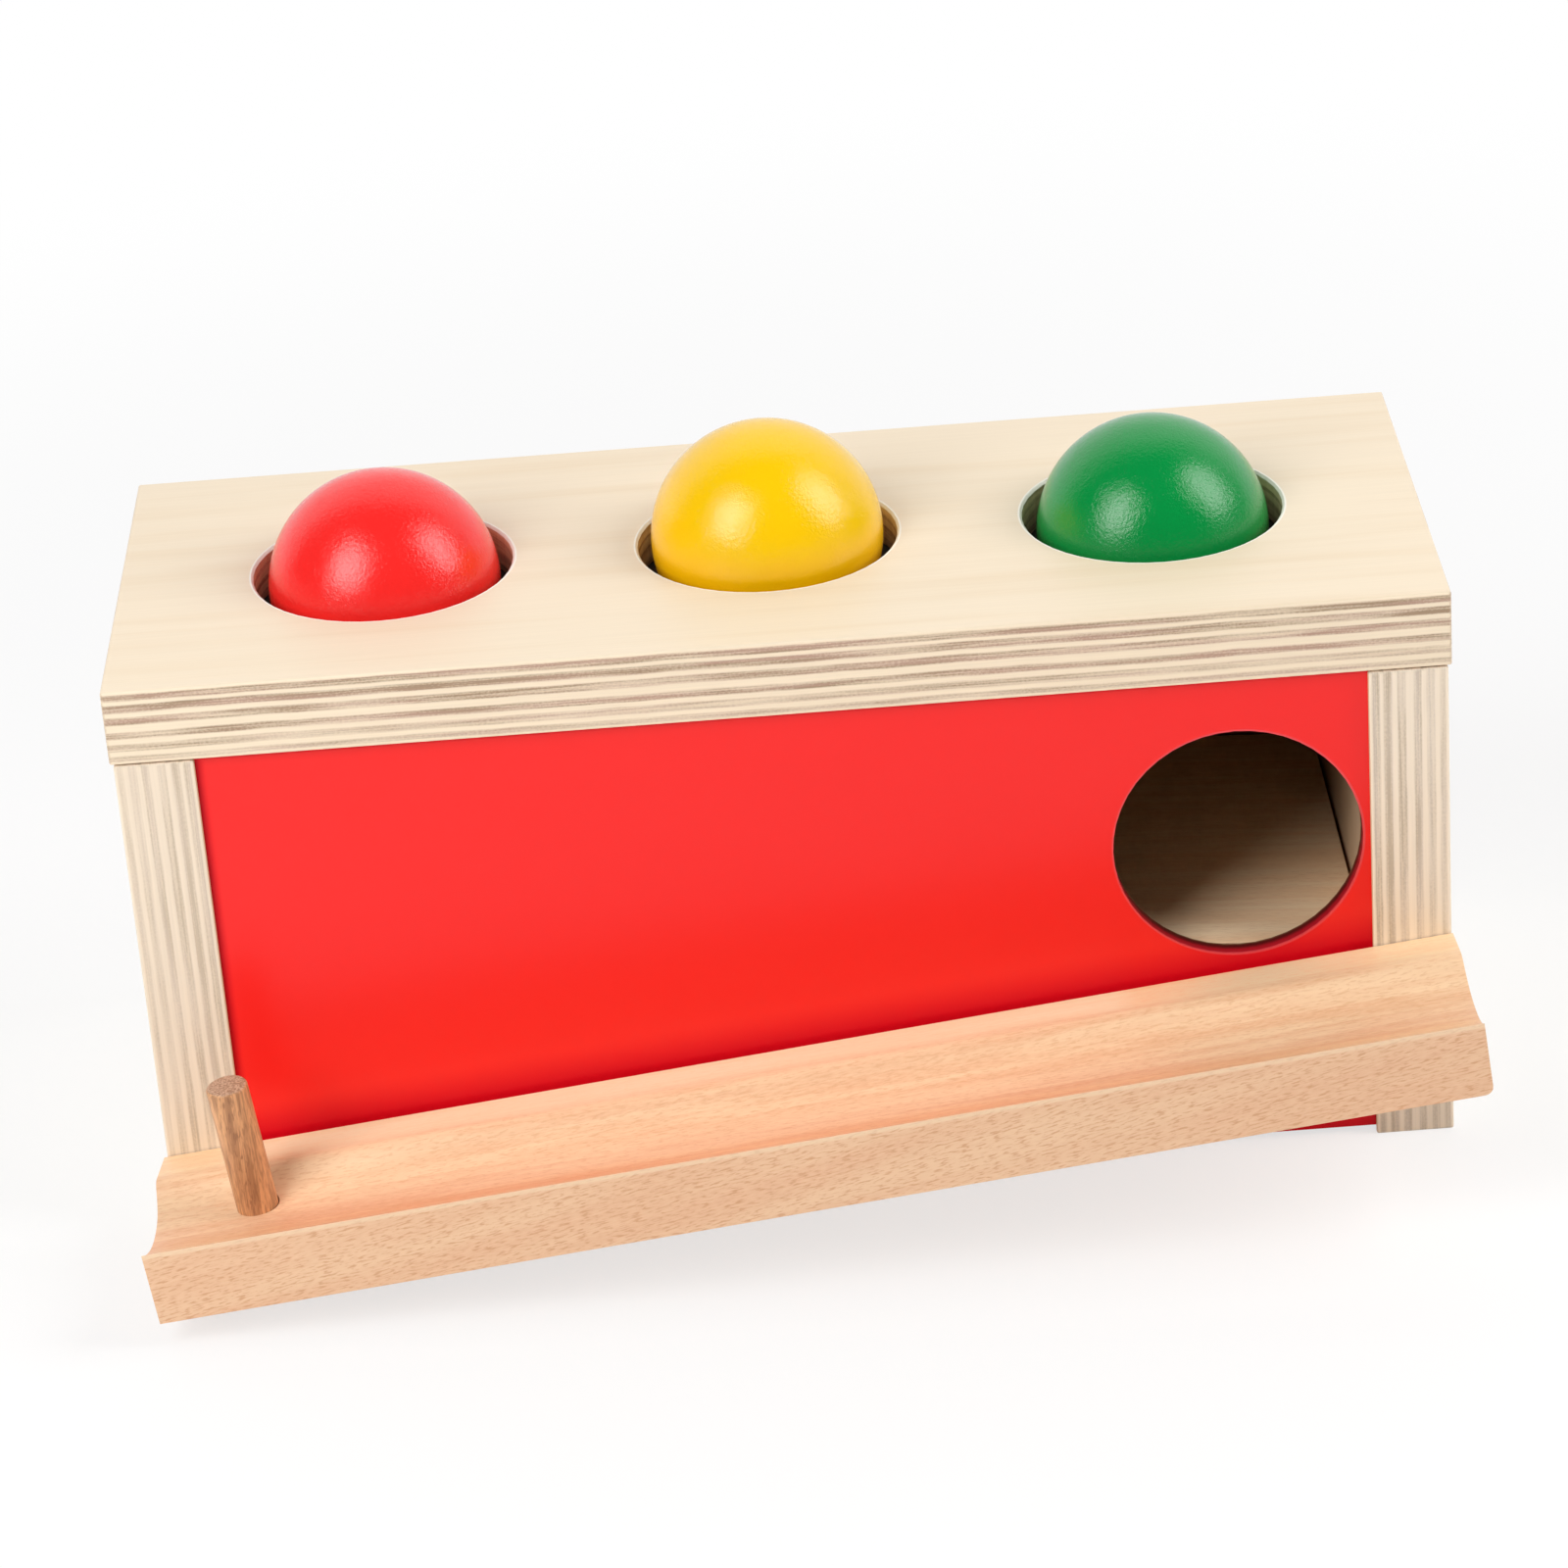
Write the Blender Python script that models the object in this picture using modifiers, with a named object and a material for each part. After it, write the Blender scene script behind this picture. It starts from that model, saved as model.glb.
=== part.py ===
"""Ball pounding bench, modelled as the separate pieces that it is made of.

A plywood box holds three wooden balls in rubber rings above a sloping board. A ball that is knocked
through its ring rolls down the board, leaves by the round hole in the front panel and runs along the
grooved rail to the peg. Metres, +Z up. X runs along the box, and the front faces -Y. The origin lies on
the ground under the middle of the whole toy, with the rail counted in.
"""

import math

import bmesh
import bpy
from mathutils import Matrix, Vector

# Gaps between pieces, and how far a cutter runs past what it cuts
GAP = 0.0003
CUT_OVERRUN = 0.002
WELD = 0.00001

# Plywood box
LENGTH = 0.300
DEPTH = 0.1155
HEIGHT = 0.1378
BOARD_THICKNESS = 0.018
TOP_OVERHANG = 0.0008
BOARD_EASE = 0.0005

# Thin front and back panels, held in grooves in the sides
PANEL_THICKNESS = 0.0045
PANEL_RECESS = 0.0015
PANEL_GROOVE_DEPTH = 0.004
PANEL_GROUND_GAP = 0.0016
PANEL_EASE = 0.0002

# Balls, and how high each ball's middle sits above the top of the box
BALL_RADIUS = 0.02685
BALL_SEATS = {"red": -0.0047, "yellow": 0.0005, "green": -0.0054}
HOLE_CLEARANCE = 0.00325
HOLE_EASE = 0.0005
END_TO_HOLE = 0.061

# Rubber rings that grip the balls, in counterbores under the top
RING_SEAT_WIDTH = 0.006
RING_SEAT_DEPTH = 0.008
RING_LIP = 0.002

# Board that keeps the rings in their counterbores, with its screws
RETAINER_THICKNESS = 0.004
RETAINER_END_GAP = 0.003
RETAINER_SIDE_GAP = 0.006
RETAINER_SCREW_INSET = 0.009
RETAINER_SCREW_LENGTH = 0.016

# Countersunk wood screws
SCREW_RADIUS = 0.00175
SCREW_HEAD_RADIUS = 0.0035
SCREW_HEAD_RIM = 0.0004
SCREW_HEAD_DEPTH = 0.0022
SCREW_SOCKET_RADIUS = 0.0014
SCREW_SOCKET_DEPTH = 0.001
SCREW_POINT = 0.003
SCREW_SINK = 0.0002

# Sloping board that the balls roll down, and the cleats under its ends
RAMP_THICKNESS = 0.005
RAMP_SLOPE = math.radians(3.0)
RAMP_FRONT_FALL = math.radians(1.2)
RAMP_END_GAP = 0.0009
RAMP_EDGE_GAP = 0.0005
CLEAT_WIDTH = 0.012
CLEAT_HEIGHT = 0.014
CLEAT_END_GAP = 0.004
CLEAT_SCREW_LENGTH = 0.021
CLEAT_SCREW_INSET = 0.020

# Round exit in the front panel: its margins to the side and the top, and how far below the ramp it reaches
EXIT_CLEARANCE = 0.00155
EXIT_WALL_MARGIN = 0.0016
EXIT_HEAD = 0.0128
EXIT_SILL_DROP = 0.0002

# Rail in front of the box: a moulding with a groove that a ball rolls in
RAIL_WIDTH = 0.0527
RAIL_SPARE_LENGTH = 0.0012
RAIL_GROOVE_THICKNESS = 0.0109
RAIL_BALL_GAP = 0.00165
RAIL_COVE_RADIUS = 0.0434
RAIL_HEEL_RADIUS = 0.016
RAIL_HEEL_ANGLE = math.radians(38.0)
RAIL_SHOULDER_RADIUS = 0.005
RAIL_LAND_SLOPE = math.radians(12.0)
RAIL_EASE = 0.0007
RAIL_CORNER_ROUND = 0.002
RAIL_LOW_END_HEIGHT = 0.0183
RAIL_STEP_BELOW_EXIT = 0.0033

# Peg that stops the ball at the low end of the rail
PEG_RADIUS = 0.0045
PEG_FROM_END = 0.0236
PEG_BEHIND_GROOVE = 0.0018
PEG_STANDOUT = 0.0321
PEG_SEAT_DEPTH = 0.008
PEG_EASE = 0.0009

# Hidden wooden dowels
TOP_DOWEL_RADIUS = 0.004
TOP_DOWEL_LENGTH = 0.030
TOP_DOWEL_BITE = 0.012
TOP_DOWEL_SPREAD = 0.060
RAIL_DOWEL_RADIUS = 0.003
RAIL_DOWEL_LENGTH = 0.030
DOWEL_EASE = 0.0008

# How finely round shapes are divided
HOLE_SIDES = 48
BALL_SIDES = 40
PEG_SIDES = 32
DOWEL_SIDES = 20
SCREW_SIDES = 14
EASE_SEGMENTS = 2
COVE_STEPS = 10
HEEL_STEPS = 6
SHOULDER_STEPS = 5
CORNER_STEPS = 4
SHARP_ANGLE = math.radians(35.0)

# Colours, as linear red, green and blue
PLYWOOD_COLOUR = (0.84, 0.69, 0.51)
RED_COLOUR = (0.90, 0.035, 0.030)
YELLOW_COLOUR = (0.95, 0.55, 0.015)
GREEN_COLOUR = (0.012, 0.30, 0.09)
BEECH_COLOUR = (0.80, 0.53, 0.36)
DARK_BEECH_COLOUR = (0.52, 0.22, 0.105)
RUBBER_COLOUR = (0.015, 0.014, 0.013)
STEEL_COLOUR = (0.55, 0.56, 0.57)
BALL_COLOURS = {"red": RED_COLOUR, "yellow": YELLOW_COLOUR, "green": GREEN_COLOUR}

# Places that follow from the sizes above, measured from the middle of the box
SIDE_OUTER = LENGTH / 2 - TOP_OVERHANG
SIDE_MIDDLE = SIDE_OUTER - BOARD_THICKNESS / 2
SIDE_INNER = SIDE_OUTER - BOARD_THICKNESS
TOP_UNDERSIDE = HEIGHT - BOARD_THICKNESS
FRONT = -DEPTH / 2
PANEL_MIDDLE = DEPTH / 2 - PANEL_RECESS - PANEL_THICKNESS / 2
PANEL_INNER = DEPTH / 2 - PANEL_RECESS - PANEL_THICKNESS
BOX_MIDDLE_Y = (RAIL_WIDTH + GAP) / 2

HOLE_RADIUS = BALL_RADIUS + HOLE_CLEARANCE
HOLE_PITCH = LENGTH / 2 - END_TO_HOLE
HOLE_PLACES = {"red": -HOLE_PITCH, "yellow": 0.0, "green": HOLE_PITCH}
RING_SEAT_RADIUS = HOLE_RADIUS + RING_SEAT_WIDTH

EXIT_RADIUS = BALL_RADIUS + EXIT_CLEARANCE
EXIT_X = SIDE_INNER - EXIT_WALL_MARGIN - EXIT_RADIUS
EXIT_Z = TOP_UNDERSIDE - GAP - EXIT_HEAD - EXIT_RADIUS
EXIT_SILL = EXIT_Z - EXIT_RADIUS
RAMP_HEIGHT_AT_EXIT = EXIT_SILL + EXIT_SILL_DROP

RETAINER_HALF_LENGTH = SIDE_INNER - RETAINER_END_GAP
RETAINER_HALF_WIDTH = PANEL_INNER - RETAINER_SIDE_GAP

RAIL_LENGTH = LENGTH + RAIL_SPARE_LENGTH
RAIL_RISE = EXIT_SILL - RAIL_STEP_BELOW_EXIT - RAIL_LOW_END_HEIGHT
RAIL_SLOPE = math.atan(RAIL_RISE / (EXIT_X + LENGTH / 2))
GROOVE_OUT = BALL_RADIUS + RAIL_BALL_GAP


def clear_scene():
    """Start from an empty scene."""
    for item in list(bpy.data.objects):
        bpy.data.objects.remove(item, do_unlink=True)


def new_collection(name):
    """Make a collection and link it to the scene."""
    made = bpy.data.collections.new(name)
    bpy.context.scene.collection.children.link(made)
    return made


clear_scene()
PIECES = new_collection("ball_pounding_bench")
CUTTERS = new_collection("cutters")


def empty(name, place, turn=(0.0, 0.0, 0.0), parent=None):
    """An empty that carries a group of pieces."""
    made = bpy.data.objects.new(name, None)
    made.location = place
    made.rotation_euler = turn
    made.parent = parent
    PIECES.objects.link(made)
    return made


def paint(piece, colour, roughness, metallic=0.0):
    """Give a piece a material of its own."""
    made = bpy.data.materials.new(piece.name + "_finish")
    made.use_nodes = True
    shader = made.node_tree.nodes["Principled BSDF"]
    shader.inputs["Base Color"].default_value = (*colour, 1.0)
    shader.inputs["Roughness"].default_value = roughness
    shader.inputs["Metallic"].default_value = metallic
    piece.data.materials.append(made)


def shade(mesh):
    """Shade a mesh smooth, with its real corners kept sharp."""
    mesh.shade_smooth()
    mesh.set_sharp_from_angle(angle=SHARP_ANGLE)


def mesh_from(shape, name):
    """Turn a bmesh into a mesh and free it."""
    bmesh.ops.recalc_face_normals(shape, faces=shape.faces)
    mesh = bpy.data.meshes.new(name)
    shape.to_mesh(mesh)
    shape.free()
    shade(mesh)
    return mesh


def box_mesh(name, size):
    """A closed box of the given size about its own middle."""
    shape = bmesh.new()
    bmesh.ops.create_cube(shape, size=1.0)
    bmesh.ops.scale(shape, vec=size, verts=shape.verts)
    return mesh_from(shape, name)


def evaluated_mesh(piece):
    """The mesh that a piece's modifiers or curve make, with its seams welded. The piece is removed."""
    bpy.context.view_layer.update()
    depsgraph = bpy.context.evaluated_depsgraph_get()
    mesh = bpy.data.meshes.new_from_object(piece.evaluated_get(depsgraph))
    bpy.data.objects.remove(piece, do_unlink=True)
    shape = bmesh.new()
    shape.from_mesh(mesh)
    bmesh.ops.remove_doubles(shape, verts=shape.verts, dist=WELD)
    return mesh_from(shape, mesh.name)


def turned_mesh(name, profile, sides, closed=False):
    """Turn a profile of (radius, height) points, listed down its outer side, round the Z axis."""
    points = [(radius, 0.0, height) for radius, height in profile]
    edges = [(index, index + 1) for index in range(len(points) - 1)]
    if closed:
        edges.append((len(points) - 1, 0))
    outline = bpy.data.meshes.new(name)
    outline.from_pydata(points, edges, [])
    spun = bpy.data.objects.new(name, outline)
    PIECES.objects.link(spun)
    screw = spun.modifiers.new("turn", "SCREW")
    screw.steps = sides
    screw.render_steps = sides
    screw.use_merge_vertices = True
    screw.merge_threshold = WELD
    return evaluated_mesh(spun)


def extruded_mesh(name, outline, length):
    """Extrude a flat outline of (out, up) points along X, its "out" towards -Y and its "up" towards +Z."""
    curve = bpy.data.curves.new(name, "CURVE")
    curve.dimensions = "2D"
    curve.fill_mode = "BOTH"
    curve.extrude = length / 2
    spline = curve.splines.new("POLY")
    spline.points.add(len(outline) - 1)
    for point, (out, up) in zip(spline.points, outline):
        point.co = (out, up, 0.0, 1.0)
    spline.use_cyclic_u = True
    drawn = bpy.data.objects.new(name, curve)
    PIECES.objects.link(drawn)
    mesh = evaluated_mesh(drawn)
    mesh.transform(Matrix(((0, 0, -1, 0), (-1, 0, 0, 0), (0, 1, 0, 0), (0, 0, 0, 1))))
    return mesh


def copies_mesh(name, mesh, places):
    """Several copies of a mesh in one, each a solid of its own, one for each placing matrix."""
    shape = bmesh.new()
    for place in places:
        start = len(shape.verts)
        shape.from_mesh(mesh)
        shape.verts.ensure_lookup_table()
        bmesh.ops.transform(shape, matrix=place, verts=shape.verts[start:])
    return mesh_from(shape, name)


def piece(name, mesh, place, parent, turn=(0.0, 0.0, 0.0)):
    """Add a piece of the toy."""
    made = bpy.data.objects.new(name, mesh)
    made.location = place
    made.rotation_euler = turn
    made.parent = parent
    PIECES.objects.link(made)
    return made


def cutter(name, mesh, place, parent, turn=(0.0, 0.0, 0.0)):
    """Add a shape that only cuts others."""
    made = bpy.data.objects.new(name, mesh)
    made.location = place
    made.rotation_euler = turn
    made.parent = parent
    made.hide_render = True
    made.display_type = "WIRE"
    CUTTERS.objects.link(made)
    return made


def ease(target, width):
    """Round a piece's sharp edges a little."""
    bevel = target.modifiers.new("ease", "BEVEL")
    bevel.width = width
    bevel.segments = EASE_SEGMENTS
    bevel.limit_method = "ANGLE"


def cut(target, *shapes):
    """Cut shapes out of a piece."""
    for shape in shapes:
        boolean = target.modifiers.new(shape.name, "BOOLEAN")
        boolean.operation = "DIFFERENCE"
        boolean.solver = "EXACT"
        boolean.object = shape


def pin_mesh(name, radius, length, end_ease, sides):
    """A round pin along Z about its own middle, with both ends chamfered."""
    half = length / 2
    profile = [
        (0.0, half), (radius - end_ease, half), (radius, half - end_ease),
        (radius, end_ease - half), (radius - end_ease, -half), (0.0, -half),
    ]
    return turned_mesh(name, profile, sides)


def hole_mesh(name, radius, length, sides):
    """A plain round cutter along Z about its own middle."""
    half = length / 2
    return turned_mesh(name, [(0.0, half), (radius, half), (radius, -half), (0.0, -half)], sides)


def screw_mesh(name, length):
    """A countersunk screw that points along -Z, with the face of its head at zero."""
    profile = [
        (0.0, -SCREW_SOCKET_DEPTH), (SCREW_SOCKET_RADIUS, 0.0), (SCREW_HEAD_RADIUS, 0.0),
        (SCREW_HEAD_RADIUS, -SCREW_HEAD_RIM), (SCREW_RADIUS, -SCREW_HEAD_DEPTH),
        (SCREW_RADIUS, SCREW_POINT - length), (0.0, -length),
    ]
    return turned_mesh(name, profile, SCREW_SIDES)


def screw_hole_mesh(name, length):
    """The hole that clears a screw: a countersink down to a bore, along -Z from just above the head."""
    head = SCREW_HEAD_RADIUS + GAP
    bore = SCREW_RADIUS + GAP
    profile = [
        (0.0, CUT_OVERRUN), (head, CUT_OVERRUN), (head, -SCREW_HEAD_RIM - GAP),
        (bore, -SCREW_HEAD_DEPTH - GAP), (bore, -length - GAP), (0.0, -length - GAP),
    ]
    return turned_mesh(name, profile, SCREW_SIDES)


def top_dowel_places():
    """Two upright dowels in each side, up into the top."""
    middle = TOP_UNDERSIDE + TOP_DOWEL_BITE - TOP_DOWEL_LENGTH / 2
    return [
        Matrix.Translation((side * SIDE_MIDDLE, row * TOP_DOWEL_SPREAD / 2, middle))
        for side in (-1, 1) for row in (-1, 1)
    ]


def retainer_screw_places():
    """Two rows of screws, pointing up: one outside the end holes and one between each pair of holes."""
    end = RETAINER_HALF_LENGTH - RETAINER_SCREW_INSET
    row_y = RETAINER_HALF_WIDTH - RETAINER_SCREW_INSET
    face = TOP_UNDERSIDE - GAP - RETAINER_THICKNESS + SCREW_SINK
    upward = Matrix.Rotation(math.pi, 4, "X")
    return [
        Matrix.Translation((x, row * row_y, face)) @ upward
        for x in (-end, -HOLE_PITCH / 2, HOLE_PITCH / 2, end) for row in (-1, 1)
    ]


def ramp_height(x):
    """Height of the ramp's upper face along its front edge."""
    return RAMP_HEIGHT_AT_EXIT - (x - EXIT_X) * math.tan(RAMP_SLOPE)


def cleat_top(side):
    """Height of the ramp's underside over the middle of a cleat, at the front."""
    return ramp_height(side * (SIDE_INNER - CLEAT_WIDTH / 2)) - RAMP_THICKNESS - GAP


def cleat_screw_places():
    """Two screws through each cleat into its side."""
    inner_face = SIDE_INNER - GAP - CLEAT_WIDTH + SCREW_SINK
    row_y = PANEL_INNER - CLEAT_SCREW_INSET
    places = []
    for side in (-1, 1):
        outward = Matrix.Rotation(-side * math.pi / 2, 4, "Y")
        height = cleat_top(side) - CLEAT_HEIGHT / 2
        for row in (-1, 1):
            places.append(Matrix.Translation((side * inner_face, row * row_y, height)) @ outward)
    return places


def arc(centre, radius, start, end, steps):
    """Points on a round arc, with angles measured from straight down towards +out."""
    out, up = centre
    angles = [start + (end - start) * step / steps for step in range(steps + 1)]
    return [(out + radius * math.sin(angle), up - radius * math.cos(angle)) for angle in angles]


def rail_outline():
    """Cross-section of the rail, as (out from the box, up from its underside), from the bottom back.

    The groove is a wide cove up to the lip and a tighter heel up to a rounded shoulder. From there a
    flat land falls back to the box.
    """
    cove_centre = (GROOVE_OUT, RAIL_GROOVE_THICKNESS + RAIL_COVE_RADIUS)
    lip_angle = math.asin((RAIL_WIDTH - GROOVE_OUT) / RAIL_COVE_RADIUS)
    cove = arc(cove_centre, RAIL_COVE_RADIUS, lip_angle, 0.0, COVE_STEPS)

    heel_centre = (GROOVE_OUT, RAIL_GROOVE_THICKNESS + RAIL_HEEL_RADIUS)
    heel = arc(heel_centre, RAIL_HEEL_RADIUS, 0.0, -RAIL_HEEL_ANGLE, HEEL_STEPS)

    reach = RAIL_HEEL_RADIUS + RAIL_SHOULDER_RADIUS
    shoulder_centre = (
        heel_centre[0] - reach * math.sin(RAIL_HEEL_ANGLE),
        heel_centre[1] - reach * math.cos(RAIL_HEEL_ANGLE),
    )
    turn = (math.pi - RAIL_HEEL_ANGLE, math.pi + RAIL_LAND_SLOPE)
    shoulder = arc(shoulder_centre, RAIL_SHOULDER_RADIUS, turn[0], turn[1], SHOULDER_STEPS)
    back_height = shoulder[-1][1] - shoulder[-1][0] * math.tan(RAIL_LAND_SLOPE)
    return [(0.0, 0.0), (RAIL_WIDTH, 0.0)] + cove + heel[1:] + shoulder[1:] + [(0.0, back_height)]


def rail_origin():
    """Middle of the rail's bottom back edge. Both ends of the rail then reach equally far past the box."""
    outline = rail_outline()
    lip_height = outline[2][1]
    back_height = outline[-1][1]
    lost_to_round = RAIL_CORNER_ROUND * (math.cos(RAIL_SLOPE) + math.sin(RAIL_SLOPE) - 1)
    x = (lip_height * math.sin(RAIL_SLOPE) + lost_to_round) / 2
    back_top = RAIL_LOW_END_HEIGHT + (x + LENGTH / 2) * math.tan(RAIL_SLOPE)
    return Vector((x, FRONT - GAP, back_top - back_height / math.cos(RAIL_SLOPE)))


def rail_dowel_places():
    """One level dowel from the back of the rail into the front edge of each side."""
    middle_up = rail_outline()[-1][1] / 2
    origin = rail_origin()
    forward = Matrix.Rotation(math.pi / 2, 4, "X")
    places = []
    for side in (-1, 1):
        x = side * SIDE_MIDDLE
        height = origin.z + (x - origin.x) * math.tan(RAIL_SLOPE) + middle_up / math.cos(RAIL_SLOPE)
        places.append(Matrix.Translation((x, FRONT, height)) @ forward)
    return places


def add_top_panel(box, dowel_holes, screw_holes):
    """Thick plywood top with three holes, each counterbored from below for its rubber ring."""
    mesh = box_mesh("top_panel", (LENGTH, DEPTH, BOARD_THICKNESS))
    top = piece("top_panel", mesh, (0.0, 0.0, HEIGHT - BOARD_THICKNESS / 2), box)
    paint(top, PLYWOOD_COLOUR, 0.45)
    ease(top, BOARD_EASE)
    wide = HOLE_RADIUS + HOLE_EASE
    ceiling = RING_SEAT_DEPTH - BOARD_THICKNESS
    profile = [
        (0.0, CUT_OVERRUN), (wide, CUT_OVERRUN), (wide, 0.0), (HOLE_RADIUS, -HOLE_EASE),
        (HOLE_RADIUS, ceiling), (RING_SEAT_RADIUS, ceiling),
        (RING_SEAT_RADIUS, -BOARD_THICKNESS - CUT_OVERRUN), (0.0, -BOARD_THICKNESS - CUT_OVERRUN),
    ]
    hole = turned_mesh("ball_hole", profile, HOLE_SIDES)
    for name, x in HOLE_PLACES.items():
        cut(top, cutter("ball_hole_" + name, hole, (x, 0.0, HEIGHT), box))
    cut(top, dowel_holes, screw_holes)


def add_side_panel(name, side, box, grooves, holes):
    """Thick plywood end of the box."""
    height = TOP_UNDERSIDE - GAP
    mesh = box_mesh(name, (BOARD_THICKNESS, DEPTH, height))
    panel = piece(name, mesh, (side * SIDE_MIDDLE, 0.0, height / 2), box)
    paint(panel, PLYWOOD_COLOUR, 0.45)
    ease(panel, BOARD_EASE)
    cut(panel, *grooves, *holes)


def add_panel_grooves(box):
    """Cutters for the grooves that hold the front and back panels, each as long as the whole box."""
    size = (
        2 * (SIDE_INNER + PANEL_GROOVE_DEPTH),
        PANEL_THICKNESS + 2 * GAP,
        HEIGHT + 2 * CUT_OVERRUN,
    )
    mesh = box_mesh("panel_groove", size)
    return [
        cutter("panel_groove_" + name, mesh, (0.0, row * PANEL_MIDDLE, HEIGHT / 2), box)
        for name, row in (("front", -1), ("back", 1))
    ]


def add_thin_panel(name, row, box):
    """Thin panel between the sides, its ends in their grooves."""
    height = TOP_UNDERSIDE - GAP - PANEL_GROUND_GAP
    length = 2 * (SIDE_INNER + PANEL_GROOVE_DEPTH - GAP)
    mesh = box_mesh(name, (length, PANEL_THICKNESS, height))
    panel = piece(name, mesh, (0.0, row * PANEL_MIDDLE, PANEL_GROUND_GAP + height / 2), box)
    paint(panel, RED_COLOUR, 0.4)
    ease(panel, PANEL_EASE)
    return panel


def add_front_panel(box):
    """Red front panel with the round hole that the balls leave by."""
    panel = add_thin_panel("front_panel", -1, box)
    mesh = hole_mesh("exit_hole", EXIT_RADIUS, PANEL_THICKNESS + 2 * CUT_OVERRUN, HOLE_SIDES)
    place = (EXIT_X, -PANEL_MIDDLE, EXIT_Z)
    cut(panel, cutter("exit_hole", mesh, place, box, turn=(math.pi / 2, 0.0, 0.0)))


def add_ramp(box):
    """Sloping board, carried by an empty on its upper face at the exit. It falls right and forward."""
    edge = PANEL_INNER - RAMP_EDGE_GAP
    place = (EXIT_X, -edge, RAMP_HEIGHT_AT_EXIT)
    carrier = empty("ramp_slope", place, (RAMP_FRONT_FALL, RAMP_SLOPE, 0.0), box)
    length = 2 * (SIDE_INNER - RAMP_END_GAP)
    mesh = box_mesh("ramp_board", (length, 2 * edge, RAMP_THICKNESS))
    ramp = piece("ramp_board", mesh, (-EXIT_X, edge, -RAMP_THICKNESS / 2), carrier)
    paint(ramp, PLYWOOD_COLOUR, 0.55)
    ease(ramp, PANEL_EASE)
    height = CLEAT_HEIGHT + RAMP_THICKNESS + GAP
    mesh = box_mesh("ramp_space", (2 * LENGTH, 2 * DEPTH, height))
    return cutter("ramp_space", mesh, (-EXIT_X, edge, CLEAT_HEIGHT - height / 2), carrier)


def add_cleats(box, ramp_space, screw_holes):
    """Wooden cleats on the sides, planed on top to the slope of the ramp that they carry."""
    length = 2 * (PANEL_INNER - CLEAT_END_GAP)
    for name, side in (("ramp_cleat_left", -1), ("ramp_cleat_right", 1)):
        spare = CLEAT_WIDTH * math.tan(RAMP_SLOPE) + 2 * PANEL_INNER * math.tan(RAMP_FRONT_FALL)
        height = CLEAT_HEIGHT + spare
        middle = cleat_top(side) - CLEAT_HEIGHT + height / 2
        x = side * (SIDE_INNER - GAP - CLEAT_WIDTH / 2)
        mesh = box_mesh(name, (CLEAT_WIDTH, length, height))
        cleat = piece(name, mesh, (x, 0.0, middle), box)
        paint(cleat, BEECH_COLOUR, 0.6)
        cut(cleat, ramp_space, screw_holes)


def add_retainer(box, screw_holes):
    """Thin board under the top that keeps the rubber rings in place, holed for the balls."""
    size = (2 * RETAINER_HALF_LENGTH, 2 * RETAINER_HALF_WIDTH, RETAINER_THICKNESS)
    middle = TOP_UNDERSIDE - GAP - RETAINER_THICKNESS / 2
    board = piece("ring_retainer_board", box_mesh("ring_retainer_board", size), (0.0, 0.0, middle), box)
    paint(board, PLYWOOD_COLOUR, 0.55)
    ease(board, PANEL_EASE)
    hole = hole_mesh("retainer_hole", HOLE_RADIUS, RETAINER_THICKNESS + 2 * CUT_OVERRUN, HOLE_SIDES)
    for name, x in HOLE_PLACES.items():
        cut(board, cutter("retainer_hole_" + name, hole, (x, 0.0, middle), box))
    cut(board, screw_holes)


def add_grip_ring(name, x, seat, box):
    """Rubber ring in its counterbore. Its lip is open just as far as the ball in it stretches it."""
    ceiling = TOP_UNDERSIDE + RING_SEAT_DEPTH - GAP
    height = ceiling - TOP_UNDERSIDE
    ball_drop = ceiling - HEIGHT - seat
    reach = BALL_RADIUS + GAP
    lip_top = math.sqrt(reach**2 - ball_drop**2)
    lip_bottom = math.sqrt(reach**2 - (ball_drop - RING_LIP) ** 2)
    outer = RING_SEAT_RADIUS - GAP
    profile = [
        (outer, 0.0), (outer, -height), (HOLE_RADIUS, -height),
        (HOLE_RADIUS, -2 * RING_LIP), (lip_bottom, -RING_LIP), (lip_top, 0.0),
    ]
    mesh = turned_mesh("grip_ring_" + name, profile, HOLE_SIDES, closed=True)
    ring = piece("grip_ring_" + name, mesh, (x, 0.0, ceiling), box)
    paint(ring, RUBBER_COLOUR, 0.7)


def add_ball(name, x, seat, box):
    """Wooden ball, with its origin at its middle, on the line that it is pushed down along."""
    shape = bmesh.new()
    bmesh.ops.create_uvsphere(shape, u_segments=BALL_SIDES, v_segments=BALL_SIDES // 2, radius=BALL_RADIUS)
    ball = piece("ball_" + name, mesh_from(shape, "ball_" + name), (x, 0.0, HEIGHT + seat), box)
    paint(ball, BALL_COLOURS[name], 0.25)


def round_low_corner(mesh):
    """Round the lower edge at the right end of the rail's mesh."""
    shape = bmesh.new()
    shape.from_mesh(mesh)
    end = max(vertex.co.x for vertex in shape.verts) - WELD
    cap = [face for face in shape.faces if all(vertex.co.x > end for vertex in face.verts)]
    bmesh.ops.dissolve_faces(shape, faces=cap)
    corner = [
        edge for edge in shape.edges
        if all(vertex.co.x > end and vertex.co.z < WELD for vertex in edge.verts)
    ]
    bmesh.ops.bevel(
        shape, geom=corner, offset=RAIL_CORNER_ROUND, segments=CORNER_STEPS, profile=0.5, affect="EDGES"
    )
    return mesh_from(shape, mesh.name)


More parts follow.
